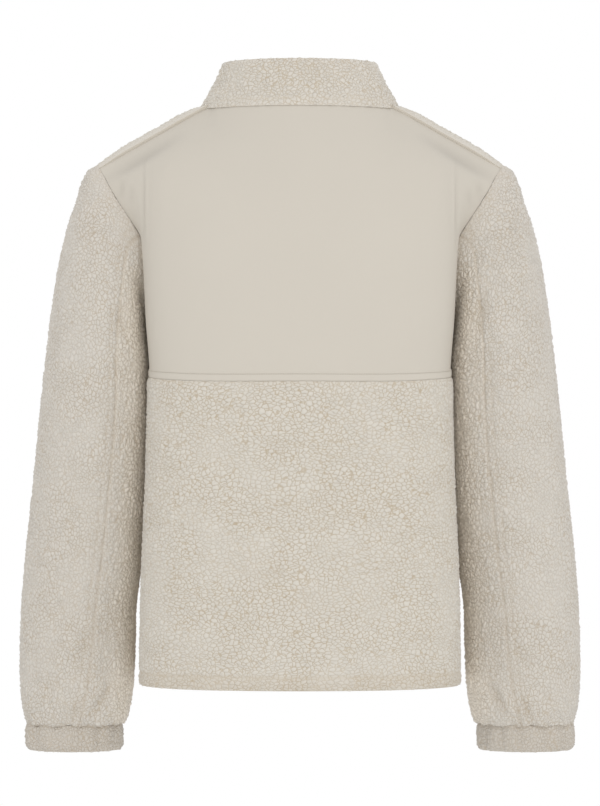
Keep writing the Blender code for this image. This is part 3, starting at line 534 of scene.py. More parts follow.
def collar_surface(angles):
    """The collar from the neck seam to its top edge, with a slight hollow between them."""
    rows = []
    for height in COLLAR_HEIGHTS:
        row = []
        for angle in angles:
            side = -1 if angle < 0 else 1
            low = neck_point(abs(angle))
            high = collar_top_point(abs(angle))
            point = (1 - height) * low + height * high
            inwards = -np.array((low[0], low[1] - NECK_CENTRE_Y, 0.0))
            inwards /= np.linalg.norm(inwards)
            point = point + inwards * COLLAR_HOLLOW * math.sin(math.pi * height)
            row.append(point * (side, 1, 1))
        rows.append(row)
    return np.array(rows)


def cuff_surface():
    """The left cuff's inner face: an oval band in small gathers, from its top down."""
    sections = table(SLEEVE_COLUMNS, SLEEVE_SECTIONS)
    half_width = (sections["x_outer"][-1] - sections["x_inner"][-1]) / 2 * MM
    centre_x = (sections["x_outer"][-1] + sections["x_inner"][-1]) / 2 * MM
    half_depth = sections["half_depth"][-1] * MM
    centre_y = sections["y_centre"][-1] * MM
    rows = []
    for part in CUFF_ROWS:
        z = CUFF_TOP_Z + part * (CUFF_BOTTOM_Z - CUFF_TOP_Z) + (CUFF_TUCK if part == 0.0 else 0.0)
        row = []
        for side in range(CUFF_SIDES + 1):
            angle = 2 * math.pi * side / CUFF_SIDES
            uneven = CUFF_UNEVENNESS * math.sin(UNEVEN_WAVES * angle)
            gather = CUFF_GATHER_DEPTH * math.cos(CUFF_GATHERS * angle + uneven)
            swell = CUFF_BARREL * math.sin(math.pi * part) + gather * (1 - CUFF_EASE * part)
            row.append((centre_x + (half_width + swell) * math.cos(angle),
                        centre_y + (half_depth + swell) * math.sin(angle), z))
        rows.append(row)
    return np.array(rows)


def mirrored_grid(grid):
    """The same panel on the other side of the body, its columns in the other order."""
    return grid[:, ::-1] * (-1, 1, 1)


def point_key(point):
    """The same key for points that lie together."""
    return tuple(np.round(point, POINT_DECIMALS))


def panel_normals(panel):
    """A panel's own point normals, by point."""
    grid = panel["grid"]
    cells = np.cross(grid[1:, 1:] - grid[:-1, :-1], grid[1:, :-1] - grid[:-1, 1:])
    sums = {}
    for row in range(cells.shape[0]):
        for column in range(cells.shape[1]):
            for corner in ((row, column), (row + 1, column), (row, column + 1), (row + 1, column + 1)):
                key = point_key(grid[corner])
                sums[key] = sums.get(key, 0) + cells[row, column]
    return {key: total / np.linalg.norm(total) for key, total in sums.items()}


def shared_normals(panels):
    """Each panel's point normals. Points that lie together, across a seam, share the mean of theirs."""
    sums = {}
    for panel in panels.values():
        for key, normal in panel_normals(panel).items():
            sums[key] = sums.get(key, 0) + normal
    normals = {}
    for name, panel in panels.items():
        found = np.array([[sums[point_key(point)] for point in row] for row in panel["grid"]])
        for row in panel.get("flat_rows", ()):
            found[row, :, 2] = 0.0
        normals[name] = found / np.linalg.norm(found, axis=2, keepdims=True)
    return normals


def hem_thickness(levels):
    """Fleece thickness up a body panel: a rounded hem edge and the groove of the hem's stitching."""
    values = np.full(len(levels), SHERPA)
    values[0] = HEM_EDGE
    values[np.isclose(levels, HEM_STITCH_LEVEL)] = STITCH_GROOVE
    return values


def body_panels():
    """The back's two panels and the two fronts, on the surfaces that they share."""
    half_back = back_surface(ALL_LEVELS, HALF_STATIONS)
    back = np.concatenate([half_back[:, :0:-1] * (-1, 1, 1), half_back], axis=1)
    front = front_surface(ALL_LEVELS, HALF_STATIONS)
    below_armpit = ALL_LEVELS <= LEVEL_ARMPIT
    front[below_armpit, -1] = half_back[below_armpit, -1]
    front[:, 0, 0] = ZIP_HALF_GAP
    lower_count = len(LOWER_LEVELS)
    yoke_thickness = np.full(len(YOKE_LEVELS), WOVEN)
    thickness = hem_thickness(ALL_LEVELS)
    return {
        "back_lower": {"grid": back[:lower_count, ::-1], "seams": ("top", "first", "last"),
                       "thickness": hem_thickness(LOWER_LEVELS)},
        "back_yoke": {"grid": back[lower_count - 1:, ::-1], "seams": ("bottom", "top", "first", "last"),
                      "thickness": yoke_thickness},
        "front_left": {"grid": front, "seams": ("top", "last"), "thickness": thickness},
        "front_right": {"grid": mirrored_grid(front), "seams": ("top", "first"), "thickness": thickness},
    }, half_back, front


def sleeve_panels(half_back, front):
    """Each sleeve's outer and under piece. They meet at the hind seam and at the fore seam."""
    from_armpit = ALL_LEVELS >= LEVEL_ARMPIT
    back_edge = half_back[from_armpit, -1][::-1]
    front_edge = front[from_armpit, -1]
    surface = sleeve_surface(np.concatenate([back_edge, front_edge[1:]]))
    thickness = np.full(len(surface), SHERPA)
    thickness[-1] = ARMHOLE_PILE
    under = surface[:, HIND_SEAM:FORE_SEAM + 1]
    outer = np.concatenate([surface[:, FORE_SEAM:-1], surface[:, :HIND_SEAM + 1]], axis=1)
    panels = {}
    for piece, grid in (("sleeve_under", under), ("sleeve_outer", outer)):
        common = {"seams": ("bottom", "top", "first", "last"), "thickness": thickness,
                  "flat_rows": (0,)}
        panels[piece + "_left"] = {"grid": grid[::-1], **common}
        panels[piece + "_right"] = {"grid": mirrored_grid(grid[::-1]), **common}
    return panels


def collar_panel():
    """The collar, open at the centre front for the zip, stitched above its seam and turned in at its top."""
    back_angles = np.linspace(0.0, NECK_SIDE_DEG, len(NECK_STATIONS))
    front_angles = np.linspace(NECK_SIDE_DEG, 180.0, len(NECK_STATIONS))
    half = np.concatenate([back_angles, front_angles[1:]])
    grid = collar_surface(np.concatenate([-half[:0:-1], half]))
    grid[:, 0, 0] = -ZIP_HALF_GAP
    grid[:, -1, 0] = ZIP_HALF_GAP
    thickness = np.full(len(COLLAR_HEIGHTS), SHERPA)
    thickness[1] = STITCH_GROOVE
    thickness[-1] = HEM_EDGE
    return {"collar": {"grid": grid[:, ::-1], "seams": ("bottom",), "thickness": thickness}}


def cuff_panels():
    """The two cuffs. Each is a ring, closed where its first and last columns meet."""
    left = cuff_surface()[::-1]
    thickness = np.array(CUFF_THICKNESSES) * CUFF_CLOTH
    common = {"seams": (), "thickness": thickness, "ring": True, "flat_rows": (0, -1)}
    return {"cuff_left": {"grid": left, **common}, "cuff_right": {"grid": mirrored_grid(left), **common}}


def running_length(grid):
    """Mean distances along a grid's rows, added up."""
    steps = np.linalg.norm(np.diff(grid, axis=0), axis=2).mean(axis=1)
    return np.concatenate([[0.0], np.cumsum(steps)])


def even_places(grid, spacing):
    """Where a grid's rows lie, and even places to sample it at, in whole cells of its inner face."""
    lengths = running_length(grid)
    count = INNER_STEP * max(2, math.ceil(lengths[-1] / spacing / INNER_STEP))
    return lengths, np.linspace(0.0, lengths[-1], count + 1)


def band_places(grid, spacing):
    """As even_places, but finer beside the first row, where the folded band lies."""
    lengths = running_length(grid)
    fine = np.linspace(0.0, BAND_FINE_STRETCH, BAND_FINE_ROWS + 1)
    count = INNER_STEP * math.ceil((lengths[-1] - BAND_FINE_STRETCH) / spacing / INNER_STEP)
    return lengths, np.concatenate([fine, np.linspace(BAND_FINE_STRETCH, lengths[-1], count + 1)[1:]])


def refined(grid, rows, columns):
    """A grid sampled at new places. Rows and columns each give where its points lie and the new places."""
    fine = smooth_through(rows[0], grid, rows[1])
    return smooth_through(columns[0], fine.swapaxes(0, 1), columns[1]).swapaxes(0, 1)


def grid_normals(grid):
    """Outward normals of a fine grid."""
    normals = np.cross(np.gradient(grid, axis=1), np.gradient(grid, axis=0))
    return normals / np.linalg.norm(normals, axis=2, keepdims=True)


def smooth_step(low, high, values):
    """0 below low, 1 above high and a smooth rise between."""
    part = np.clip((values - low) / (high - low), 0.0, 1.0)
    return part * part * (3 - 2 * part)


def crease_depth_at(grid, normals, creases):
    """How far the creases press each point of a fine grid in."""
    x, z = grid[..., 0] / MM, grid[..., 2] / MM
    total = np.zeros(grid.shape[:2])
    for face, x1, z1, x2, z2, width, depth in creases:
        run = np.array((x2 - x1, z2 - z1))
        part = ((x - x1) * run[0] + (z - z1) * run[1]) / np.hypot(*run) ** 2
        nearest = np.clip(part, 0.0, 1.0)
        away = np.hypot(x - x1 - nearest * run[0], z - z1 - nearest * run[1])
        along = np.clip(CREASE_RUN_OUT + (1 - 2 * CREASE_RUN_OUT) * part, 0.0, 1.0)
        fade = np.sin(np.pi * along) ** CREASE_FADE
        facing = smooth_step(*CREASE_FACING, normals[..., 1] * face)
        total += depth * MM * np.exp(-(away / width) ** 2) * fade * facing
    return total


def sewn_lines(name, row_places, column_places, seams):
    """What a piece's seams and stitched lines do at each point: rise, left pile and tan, as grids."""
    shape = (len(row_places), len(column_places))
    ends = ("last", "first") if name.endswith("_right") else ("first", "last")
    inset = {"bottom": row_places[:, None], "top": row_places[-1] - row_places[:, None],
             ends[0]: column_places[None, :], ends[1]: column_places[-1] - column_places[None, :]}
    swapped = dict(zip(("first", "last"), ends))
    lines = [(swapped.get(seam, seam), *SEAM_LINE) for seam in seams]
    for piece, own in SEWN_LINES.items():
        if name.startswith(piece):
            lines += own
    rise, pile, tan = np.zeros(shape), np.ones(shape), np.zeros(shape)
    beside_seam = smooth_step(0.0, SEAM_FADE, np.minimum(inset["first"], inset["last"]))
    for edge, place, half_width, height, flatten, bare in lines:
        near = np.exp(-((inset[edge] / MM - place) / half_width) ** 2) * np.ones(shape)
        rise += height * MM * near * (1.0 if edge in ends else beside_seam)
        pile *= 1 - flatten * near
        tan += bare * near
    return rise, pile, tan


def banded(row_places):
    """How far the yoke's folded edge and its stitched groove stand out, row by row."""
    rise = BAND_RISE * (1 - smooth_step(BAND_DEPTH - BAND_TOP_ROUND, BAND_DEPTH + BAND_TOP_ROUND, row_places))
    rounding = BAND_RISE / 2 * (1 - smooth_step(0.0, BAND_EDGE_ROUND, row_places))
    groove = STITCH_GROOVE_DEPTH * np.exp(-((row_places - STITCH_LINE) / STITCH_GROOVE_WIDTH) ** 2)
    return rise - rounding - groove


def gathered(name, row_places, column_places):
    """How far the small gathers at a sleeve's end stand out, as a grid. Other pieces have none."""
    for piece, count in END_GATHERS.items():
        if name.startswith(piece):
            turn = 2 * np.pi * count * column_places / column_places[-1]
            wave = np.cos(turn + END_GATHER_UNEVENNESS * np.sin(turn / count * UNEVEN_WAVES))
            fade = (1 - smooth_step(0.0, END_GATHER_HEIGHT, row_places)) ** END_GATHER_FADE
            return END_GATHER_DEPTH * fade[:, None] * wave[None, :]
    return 0.0


def shoulder_taper(name, column_places, heights):
    """How far a front's pile thins out towards the armhole over the shoulder, as a grid."""
    from_armhole = column_places if name.endswith("_right") else column_places[-1] - column_places
    taper = SHOULDER_TAPER * np.exp(-(from_armhole / TAPER_WIDTH) ** 2)
    return taper[None, :] * smooth_step(*TAPER_HEIGHTS, heights)


def inner_cells(rows, columns, kept):
    """The inner face's large cells, as corners (row, column). Those at an edge keep all its fine points."""
    cells = []
    for row in range(0, rows - 1, INNER_STEP):
        for column in range(0, columns - 1, INNER_STEP):
            low, right = row + INNER_STEP, column + INNER_STEP
            walk = [(row, step) for step in range(column, right)]
            walk += [(step, right) for step in range(row, low)]
            walk += [(low, step) for step in range(right, column, -1)]
            walk += [(step, column) for step in range(low, row, -1)]
            cells.append([corner for corner in walk if kept[corner]])
    return cells


def rim_quads(outer_edge, inner_edge):
    """The faces between an edge of the outer face and the same edge of the inner face."""
    quads = []
    for near in range(len(outer_edge) - 1):
        quads.append((outer_edge[near + 1], outer_edge[near], inner_edge[near], inner_edge[near + 1]))
    return quads


def crisp_rims(mesh, rows, columns, ring):
    """Marks the outer face's border as sharp, so that cloth is shaded alike on both sides of a seam."""
    ends = np.empty(2 * len(mesh.edges), dtype=np.int32)
    mesh.edges.foreach_get("vertices", ends)
    ends = ends.reshape(-1, 2)
    row, column = ends // columns, ends % columns
    on_outer = (ends < rows * columns).all(axis=1)
    along_row = (row[:, 0] == row[:, 1]) & ((row[:, 0] == 0) | (row[:, 0] == rows - 1))
    along_column = (column[:, 0] == column[:, 1]) & ((column[:, 0] == 0) | (column[:, 0] == columns - 1))
    border = along_row if ring else along_row | along_column
    sharp = mesh.attributes.new("sharp_edge", "BOOLEAN", "EDGE")
    sharp.data.foreach_set("value", on_outer & border)


def shell(name, inner, outer, amounts, ring, materials):
    """A closed cloth shell from its inner and outer fine grids. Named amounts are stored for each point."""
    rows, columns = outer.shape[:2]
    outer_index = np.arange(rows * columns).reshape(rows, columns)
    kept = np.zeros((rows, columns), dtype=bool)
    kept[::INNER_STEP, ::INNER_STEP] = True
    kept[[0, -1], :] = True
    if not ring:
        kept[:, [0, -1]] = True
    inner_index = np.full((rows, columns), -1)
    inner_index[kept] = rows * columns + np.arange(kept.sum())

    quads = np.stack([outer_index[:-1, :-1], outer_index[:-1, 1:],
                      outer_index[1:, 1:], outer_index[1:, :-1]], axis=-1)
    faces = quads.reshape(-1, 4).tolist()
    faces += rim_quads(outer_index[0], inner_index[0])
    faces += rim_quads(outer_index[-1][::-1], inner_index[-1][::-1])
    if not ring:
        faces += rim_quads(outer_index[::-1, 0], inner_index[::-1, 0])
        faces += rim_quads(outer_index[:, -1], inner_index[:, -1])
    outside_faces = len(faces)
    for cell in inner_cells(rows, columns, kept):
        faces.append([int(inner_index[corner]) for corner in reversed(cell)])

    points = np.concatenate([outer.reshape(-1, 3), inner[kept]])
    mesh = bpy.data.meshes.new(name)
    mesh.from_pydata(points.tolist(), [], faces)
    for material in materials:
        mesh.materials.append(material)
    slots = np.zeros(len(faces), dtype=np.int32)
    slots[outside_faces:] = len(materials) - 1
    mesh.polygons.foreach_set("material_index", slots)
    for label, values in amounts.items():
        vector = values.ndim == 3
        amount = mesh.attributes.new(label, "FLOAT_VECTOR" if vector else "FLOAT", "POINT")
        padding = np.zeros(kept.sum() * (3 if vector else 1))
        amount.data.foreach_set("vector" if vector else "value", np.concatenate([values.ravel(), padding]))
    crisp_rims(mesh, rows, columns, ring)
    if ring:
        work = bmesh.new()
        work.from_mesh(mesh)
        bmesh.ops.remove_doubles(work, verts=work.verts, dist=WELD_DISTANCE)
        work.to_mesh(mesh)
        work.free()
    mesh.shade_smooth()
    thing = bpy.data.objects.new(name, mesh)
    bpy.context.scene.collection.objects.link(thing)
    return thing


# Node trees

def add(tree, kind, inputs=(), **settings):
    """A new node, with its settings and its inputs: a value, or a socket to link."""
    node = tree.nodes.new(kind)
    for name, value in settings.items():
        setattr(node, name, value)
    for key, value in dict(inputs).items():
        socket = node.inputs[key]
        if isinstance(value, bpy.types.NodeSocket):
            tree.links.new(value, socket)
        else:
            socket.default_value = value
    return node


def maths(tree, operation, first, second):
    """A Math node's result."""
    return add(tree, "ShaderNodeMath", {0: first, 1: second}, operation=operation).outputs[0]


def mapped(tree, value, low, high, to_low=0.0, to_high=1.0):
    """A value eased from one range to another."""
    return add(tree, "ShaderNodeMapRange", {"Value": value, "From Min": low, "From Max": high,
                                            "To Min": to_low, "To Max": to_high},
               interpolation_type="SMOOTHSTEP").outputs[0]


def noise(tree, place, scale, detail):
    """A Noise Texture's value."""
    return add(tree, "ShaderNodeTexNoise", {"Vector": place, "Scale": scale, "Detail": detail}).outputs[0]


def blended(tree, share, first, second):
    """A colour between two, each of which is a socket or (red, green, blue)."""
    ends = {}
    for label, colour in (("A", first), ("B", second)):
        ends[label] = colour if isinstance(colour, bpy.types.NodeSocket) else (*colour, 1.0)
    return add(tree, "ShaderNodeMix", {"Factor": share, **ends}, data_type="RGBA").outputs["Result"]


def stored(tree, name, output="Fac"):
    """What a mesh's named attribute holds, in a shader."""
    return add(tree, "ShaderNodeAttribute", attribute_name=name).outputs[output]


def curl_pattern(tree, place, per_metre):
    """Curly pile, from a place and the curls per metre along each axis: how far a point lies from the
    cracks between the curls, as a share of a curl, and a finer frizz."""
    scaled = add(tree, "ShaderNodeVectorMath", {0: place, 1: per_metre}, operation="MULTIPLY").outputs[0]
    pushed = scaled
    for scale, amount in CURL_BENDS:
        drift = add(tree, "ShaderNodeTexNoise", {"Vector": scaled, "Scale": scale, "Detail": BEND_DETAIL})
        centred = add(tree, "ShaderNodeVectorMath", {0: drift.outputs["Color"], 1: (0.5, 0.5, 0.5)},
                      operation="SUBTRACT").outputs[0]
        pushed = add(tree, "ShaderNodeVectorMath", {0: centred, 1: (amount,) * 3, 2: pushed},
                     operation="MULTIPLY_ADD").outputs[0]
    cells = add(tree, "ShaderNodeTexVoronoi", {"Vector": pushed, "Scale": 1.0}, feature="DISTANCE_TO_EDGE")
    return cells.outputs["Distance"], noise(tree, pushed, *FRIZZ_NOISE)


def new_group(kind, name, inputs, outputs):
    """A node group and its two end nodes. Inputs and outputs give each socket's type by its name."""
    group = bpy.data.node_groups.new(name, kind)
    for in_out, sockets in (("INPUT", inputs), ("OUTPUT", outputs)):
        for label, socket_type in sockets.items():
            group.interface.new_socket(label, in_out=in_out, socket_type=socket_type)
    return group, group.nodes.new("NodeGroupInput"), group.nodes.new("NodeGroupOutput")


def finish_group(group, result, placed, material):
    """Ends a geometry tree: real, smoothly shaded meshes of one material."""
    real = add(group, "GeometryNodeRealizeInstances", {"Geometry": placed.outputs[0]})
    smooth = add(group, "GeometryNodeSetShadeSmooth", {"Geometry": real.outputs[0]})
    painted = add(group, "GeometryNodeSetMaterial", {"Geometry": smooth.outputs[0], "Material": material})
    group.links.new(painted.outputs[0], result.inputs[0])


def spots_along(group, source, axis):
    """Points at an even pitch along a mesh's edges, and how an axis is turned there to lie along them."""
    curve = add(group, "GeometryNodeMeshToCurve", {"Mesh": source.outputs["Geometry"]}).outputs[0]
    spots = add(group, "GeometryNodeCurveToPoints", {"Curve": curve, "Length": source.outputs["Pitch"]},
                mode="LENGTH")
    turn = add(group, "FunctionNodeAlignRotationToVector", {"Vector": spots.outputs["Tangent"]}, axis=axis)
    return spots.outputs["Points"], turn.outputs[0]


def pile_group():
    """Raises the pile's curls out of the cloth, and keeps each point's place before that for the shader.
    It copies nothing, so the cloth keeps its own two materials."""
    inputs = {"Geometry": GEOMETRY, "Height": NUMBER, "Frizz": NUMBER, "Lumps": NUMBER, "Sink": NUMBER,
              "Curls per metre": VECTOR}
    group, source, result = new_group("GeometryNodeTree", "pile", inputs, {"Geometry": GEOMETRY})
    place = add(group, "GeometryNodeInputPosition").outputs[0]
    kept = add(group, "GeometryNodeStoreNamedAttribute",
               {"Geometry": source.outputs["Geometry"], "Name": "rest", "Value": place},
               data_type="FLOAT_VECTOR", domain="POINT")
    distance, frizz = curl_pattern(group, place, source.outputs["Curls per metre"])
    lumps = noise(group, place, *LUMP_NOISE)
    dome = mapped(group, distance, 0.0, CURL_DOME)
    raised = maths(group, "ADD", dome, maths(group, "MULTIPLY", frizz, source.outputs["Frizz"]))
    raised = maths(group, "ADD", raised, maths(group, "MULTIPLY", lumps, source.outputs["Lumps"]))
    raised = maths(group, "SUBTRACT", raised, source.outputs["Sink"])
    pile = add(group, "GeometryNodeInputNamedAttribute", {"Name": "pile"}, data_type="FLOAT").outputs[0]
    amount = maths(group, "MULTIPLY", maths(group, "MULTIPLY", raised, pile), source.outputs["Height"])
    out = add(group, "GeometryNodeInputNamedAttribute", {"Name": "out"}, data_type="FLOAT_VECTOR").outputs[0]
    offset = add(group, "ShaderNodeVectorMath", {0: out, 3: amount}, operation="SCALE").outputs[0]
    moved = add(group, "GeometryNodeSetPosition", {"Geometry": kept.outputs["Geometry"], "Offset": offset})
    group.links.new(moved.outputs[0], result.inputs[0])
    return group


def teeth_group(material):
    """Zip teeth along a line of edges: small rounded blocks that lie across it."""
    inputs = {"Geometry": GEOMETRY, "Pitch": NUMBER, "Size": VECTOR, "Crease": NUMBER}
    group, source, result = new_group("GeometryNodeTree", "teeth", inputs, {"Geometry": GEOMETRY})
    spots, turn = spots_along(group, source, "Z")
    block = add(group, "GeometryNodeMeshCube", {"Size": source.outputs["Size"]}).outputs[0]
    tooth = add(group, "GeometryNodeSubdivisionSurface",
                {"Mesh": block, "Level": 1, "Edge Crease": source.outputs["Crease"]}).outputs[0]
    placed = add(group, "GeometryNodeInstanceOnPoints",
                 {"Points": spots, "Instance": tooth, "Rotation": turn})
    finish_group(group, result, placed, material)
    return group


def stitch_group(material):
    """A row of thread stitches along a line of edges. Each fills a share of its pitch."""
    inputs = {"Geometry": GEOMETRY, "Pitch": NUMBER, "Thread": NUMBER, "Share": NUMBER}
    group, source, result = new_group("GeometryNodeTree", "stitches", inputs, {"Geometry": GEOMETRY})
    spots, turn = spots_along(group, source, "X")
    bead = add(group, "GeometryNodeMeshUVSphere", STITCH_BEAD).outputs[0]
    length = maths(group, "MULTIPLY", source.outputs["Pitch"], source.outputs["Share"])
    half_length = maths(group, "MULTIPLY", length, 0.5)
    thread = source.outputs["Thread"]
    size = add(group, "ShaderNodeCombineXYZ", {0: half_length, 1: thread, 2: thread})
    placed = add(group, "GeometryNodeInstanceOnPoints",
                 {"Points": spots, "Instance": bead, "Rotation": turn, "Scale": size.outputs[0]})
    finish_group(group, result, placed, material)
    return group


def grown(thing, group, values):
    """The object with a Geometry Nodes group applied to it, as a plain mesh. Values are set by input name."""
    modifier = thing.modifiers.new(group.name, "NODES")
    modifier.node_group = group
    sockets = {item.name: item.identifier for item in group.interface.items_tree if item.in_out == "INPUT"}
    for label, value in values.items():
        modifier[sockets[label]] = value
    graph = bpy.context.evaluated_depsgraph_get()
    mesh = bpy.data.meshes.new_from_object(thing.evaluated_get(graph))
    thing.modifiers.clear()
    thing.data = mesh
    return thing


# Materials

def principled(name, finish):
    """A material whose Principled shader has its own sockets set as the finish says."""
    material = bpy.data.materials.new(name)
    material.use_nodes = True
    tree = material.node_tree
    shader = tree.nodes["Principled BSDF"]
    for label, value in finish.items():
        shader.inputs[label].default_value = value
    return material, tree, shader


def curls_per_metre(kind):
    """How many curls of a kind of fleece lie in a metre along X, Y and Z."""
    across, along = FLEECE_KINDS[kind][:2]
    return (1 / (across * MM), 1 / (across * MM), 1 / (along * MM))


def fleece_group():
    """Curly fleece: light curls with fine tan cracks between them, stronger in some patches than others.
    The cracks' darker colour is partly the pile's roots and partly painted shade in the hollows between
    curls;
    folds get painted shade, and the sleeves' inner flanks a painted warm light.
    """
    inputs = {"Curls per metre": VECTOR, "Crack": NUMBER, "Curl colour": COLOUR, "Crack colour": COLOUR}
    group, source, result = new_group("ShaderNodeTree", "curly fleece", inputs,
                                      {"Colour": COLOUR, "Height": NUMBER})
    place = stored(group, "rest", "Vector")
    pile = stored(group, "pile")
    distance, frizz = curl_pattern(group, place, source.outputs["Curls per metre"])
    patches = mapped(group, noise(group, place, *PATCH_NOISE), *PATCH_RANGE, PATCH_LEAST, 1.0)
    # The cracks' darker colour: partly the tan roots of the pile, partly painted shade in the hollows between
    # curls
    crack = mapped(group, distance, 0.0, CRACK_WIDTH, source.outputs["Crack"], 0.0)
    crack = maths(group, "MULTIPLY", maths(group, "MULTIPLY", crack, patches), pile)
    clouds = maths(group, "SUBTRACT", noise(group, place, *CLOUD_NOISE), 0.5)
    clouds = maths(group, "MULTIPLY", clouds, CLOUD_SHARE)
    strands = maths(group, "MULTIPLY", maths(group, "SUBTRACT", frizz, 0.5), STRAND_SHARE)
    # Painted shade in the folds, added to the tan of the seams
    folds = maths(group, "MULTIPLY", stored(group, "painted_fold_shade"), FLEECE_FOLD_SHADE)
    tan = maths(group, "ADD", stored(group, "tan"), folds)
    dark = maths(group, "ADD", maths(group, "ADD", crack, tan), maths(group, "ADD", clouds, strands))
    # Painted warm light on the sleeves' inner flanks, lightening the curls there
    curl = blended(group, stored(group, "painted_flank_light"), source.outputs["Curl colour"], FLANK_PAINTED_LIGHT_COLOUR)
    colour = blended(group, dark, curl, source.outputs["Crack colour"])
    height = maths(group, "MULTIPLY", frizz, FLEECE_FRIZZ_HEIGHT)
    height = maths(group, "ADD", mapped(group, distance, 0.0, CURL_ROUND), height)
    group.links.new(colour, result.inputs["Colour"])
    group.links.new(maths(group, "MULTIPLY", height, pile), result.inputs["Height"])
    return group


def weave_group():
    """A plain weave of slightly uneven yarns, with soft clouds and painted shade in the folds."""
    inputs = {"Pitch": NUMBER, "Dark colour": COLOUR, "Light colour": COLOUR}
    group, source, result = new_group("ShaderNodeTree", "plain weave", inputs,
                                      {"Colour": COLOUR, "Height": NUMBER})
    place = add(group, "ShaderNodeTexCoord").outputs["Object"]
    yarn = noise(group, place, *YARN_NOISE)
    clouds = noise(group, place, *WOVEN_CLOUD_NOISE)
    tone = maths(group, "MULTIPLY", maths(group, "ADD", clouds, yarn), 0.5)
    plain = blended(group, tone, source.outputs["Dark colour"], source.outputs["Light colour"])
    # Painted shade in the folds, mixed towards black in the colour below
    folds = maths(group, "MULTIPLY", stored(group, "painted_fold_shade"), WOVEN_FOLD_SHADE)
    turn = maths(group, "DIVIDE", 2 * math.pi, source.outputs["Pitch"])
    sides = add(group, "ShaderNodeSeparateXYZ", {0: place}).outputs
    warp = maths(group, "SINE", maths(group, "MULTIPLY", sides[0], turn), 0.0)
    weft = maths(group, "SINE", maths(group, "MULTIPLY", sides[2], turn), 0.0)
    height = maths(group, "ADD", maths(group, "MULTIPLY", warp, weft), yarn)
    group.links.new(blended(group, folds, plain, (0.0, 0.0, 0.0)), result.inputs["Colour"])
    group.links.new(height, result.inputs["Height"])
    return group


def polish_group():
    """The slightly uneven polish of moulded plastic or satin metal."""
    inputs = {"Grain": NUMBER, "Least": NUMBER, "Most": NUMBER, "Dark colour": COLOUR, "Light colour": COLOUR}
    group, source, result = new_group("ShaderNodeTree", "uneven polish", inputs,
                                      {"Colour": COLOUR, "Roughness": NUMBER})
    place = add(group, "ShaderNodeTexCoord").outputs["Object"]
    polish = noise(group, place, source.outputs["Grain"], POLISH_DETAIL)
    rough = add(group, "ShaderNodeMapRange",
                {"Value": polish, "To Min": source.outputs["Least"], "To Max": source.outputs["Most"]})
    colour = blended(group, polish, source.outputs["Dark colour"], source.outputs["Light colour"])
    group.links.new(colour, result.inputs["Colour"])
    group.links.new(rough.outputs[0], result.inputs["Roughness"])
    return group


def two_tones(colour, darker):
    """A group's dark and light colour: a darker share of a colour, and the colour itself."""
    return {"Dark colour": (*(darker * part for part in colour), 1.0), "Light colour": (*colour, 1.0)}


def clothed(name, finish, pattern, values, strength, distance):
    """A cloth's material: a group's colour, and its height as a bump."""
    material, tree, shader = principled(name, finish)
    cloth = add(tree, "ShaderNodeGroup", values, node_tree=pattern)
    bump = add(tree, "ShaderNodeBump",
               {"Height": cloth.outputs["Height"], "Strength": strength, "Distance": distance})
    tree.links.new(cloth.outputs["Colour"], shader.inputs["Base Color"])
    tree.links.new(bump.outputs[0], shader.inputs["Normal"])
    return material


def fleece_material(kind, pattern):
    """One kind of curly fleece."""
    look = dict(zip(FLEECE_COLUMNS, FLEECE_KINDS[kind]))
    values = {"Curls per metre": curls_per_metre(kind), "Crack": look["crack"],
              "Curl colour": (*look["top_colour"], 1.0), "Crack colour": (*look["crack_colour"], 1.0)}
    return clothed(kind + " fleece", FLEECE_FINISH, pattern, values, look["bump"], FLEECE_BUMP)


def woven_material(name, pattern):
    """One of the smooth matt cloths."""
    colour, pitch, strength = WOVEN_CLOTHS[name]
    values = {"Pitch": pitch * MM, **two_tones(colour, WOVEN_DARKER)}
    return clothed(name, WOVEN_FINISH, pattern, values, strength, WOVEN_BUMP)


def hard_material(name, pattern):
    """Moulded plastic or satin metal."""
    colour, roughness, metallic, grain = HARD_FINISHES[name]
    material, tree, shader = principled(name, {"Metallic": metallic})
    values = {"Grain": grain, "Least": roughness - POLISH_LOWER, "Most": roughness + POLISH_HIGHER,
              **two_tones(colour, POLISH_DARKER)}
    polish = add(tree, "ShaderNodeGroup", values, node_tree=pattern)
    tree.links.new(polish.outputs["Colour"], shader.inputs["Base Color"])
    tree.links.new(polish.outputs["Roughness"], shader.inputs["Roughness"])
    return material


def kind_of(name):
    """Which kind of cloth a piece is cut from."""
    if name == "back_yoke":
        return "woven"
    kind = name.split("_")[0]
    return kind if kind in FLEECE_KINDS else "body"


def sewn_on(piece, node):
    """Hangs a cloth piece on the jacket's frame and hides the CAD part that it stands in for."""
    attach(piece, "jacket")
    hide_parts(node)


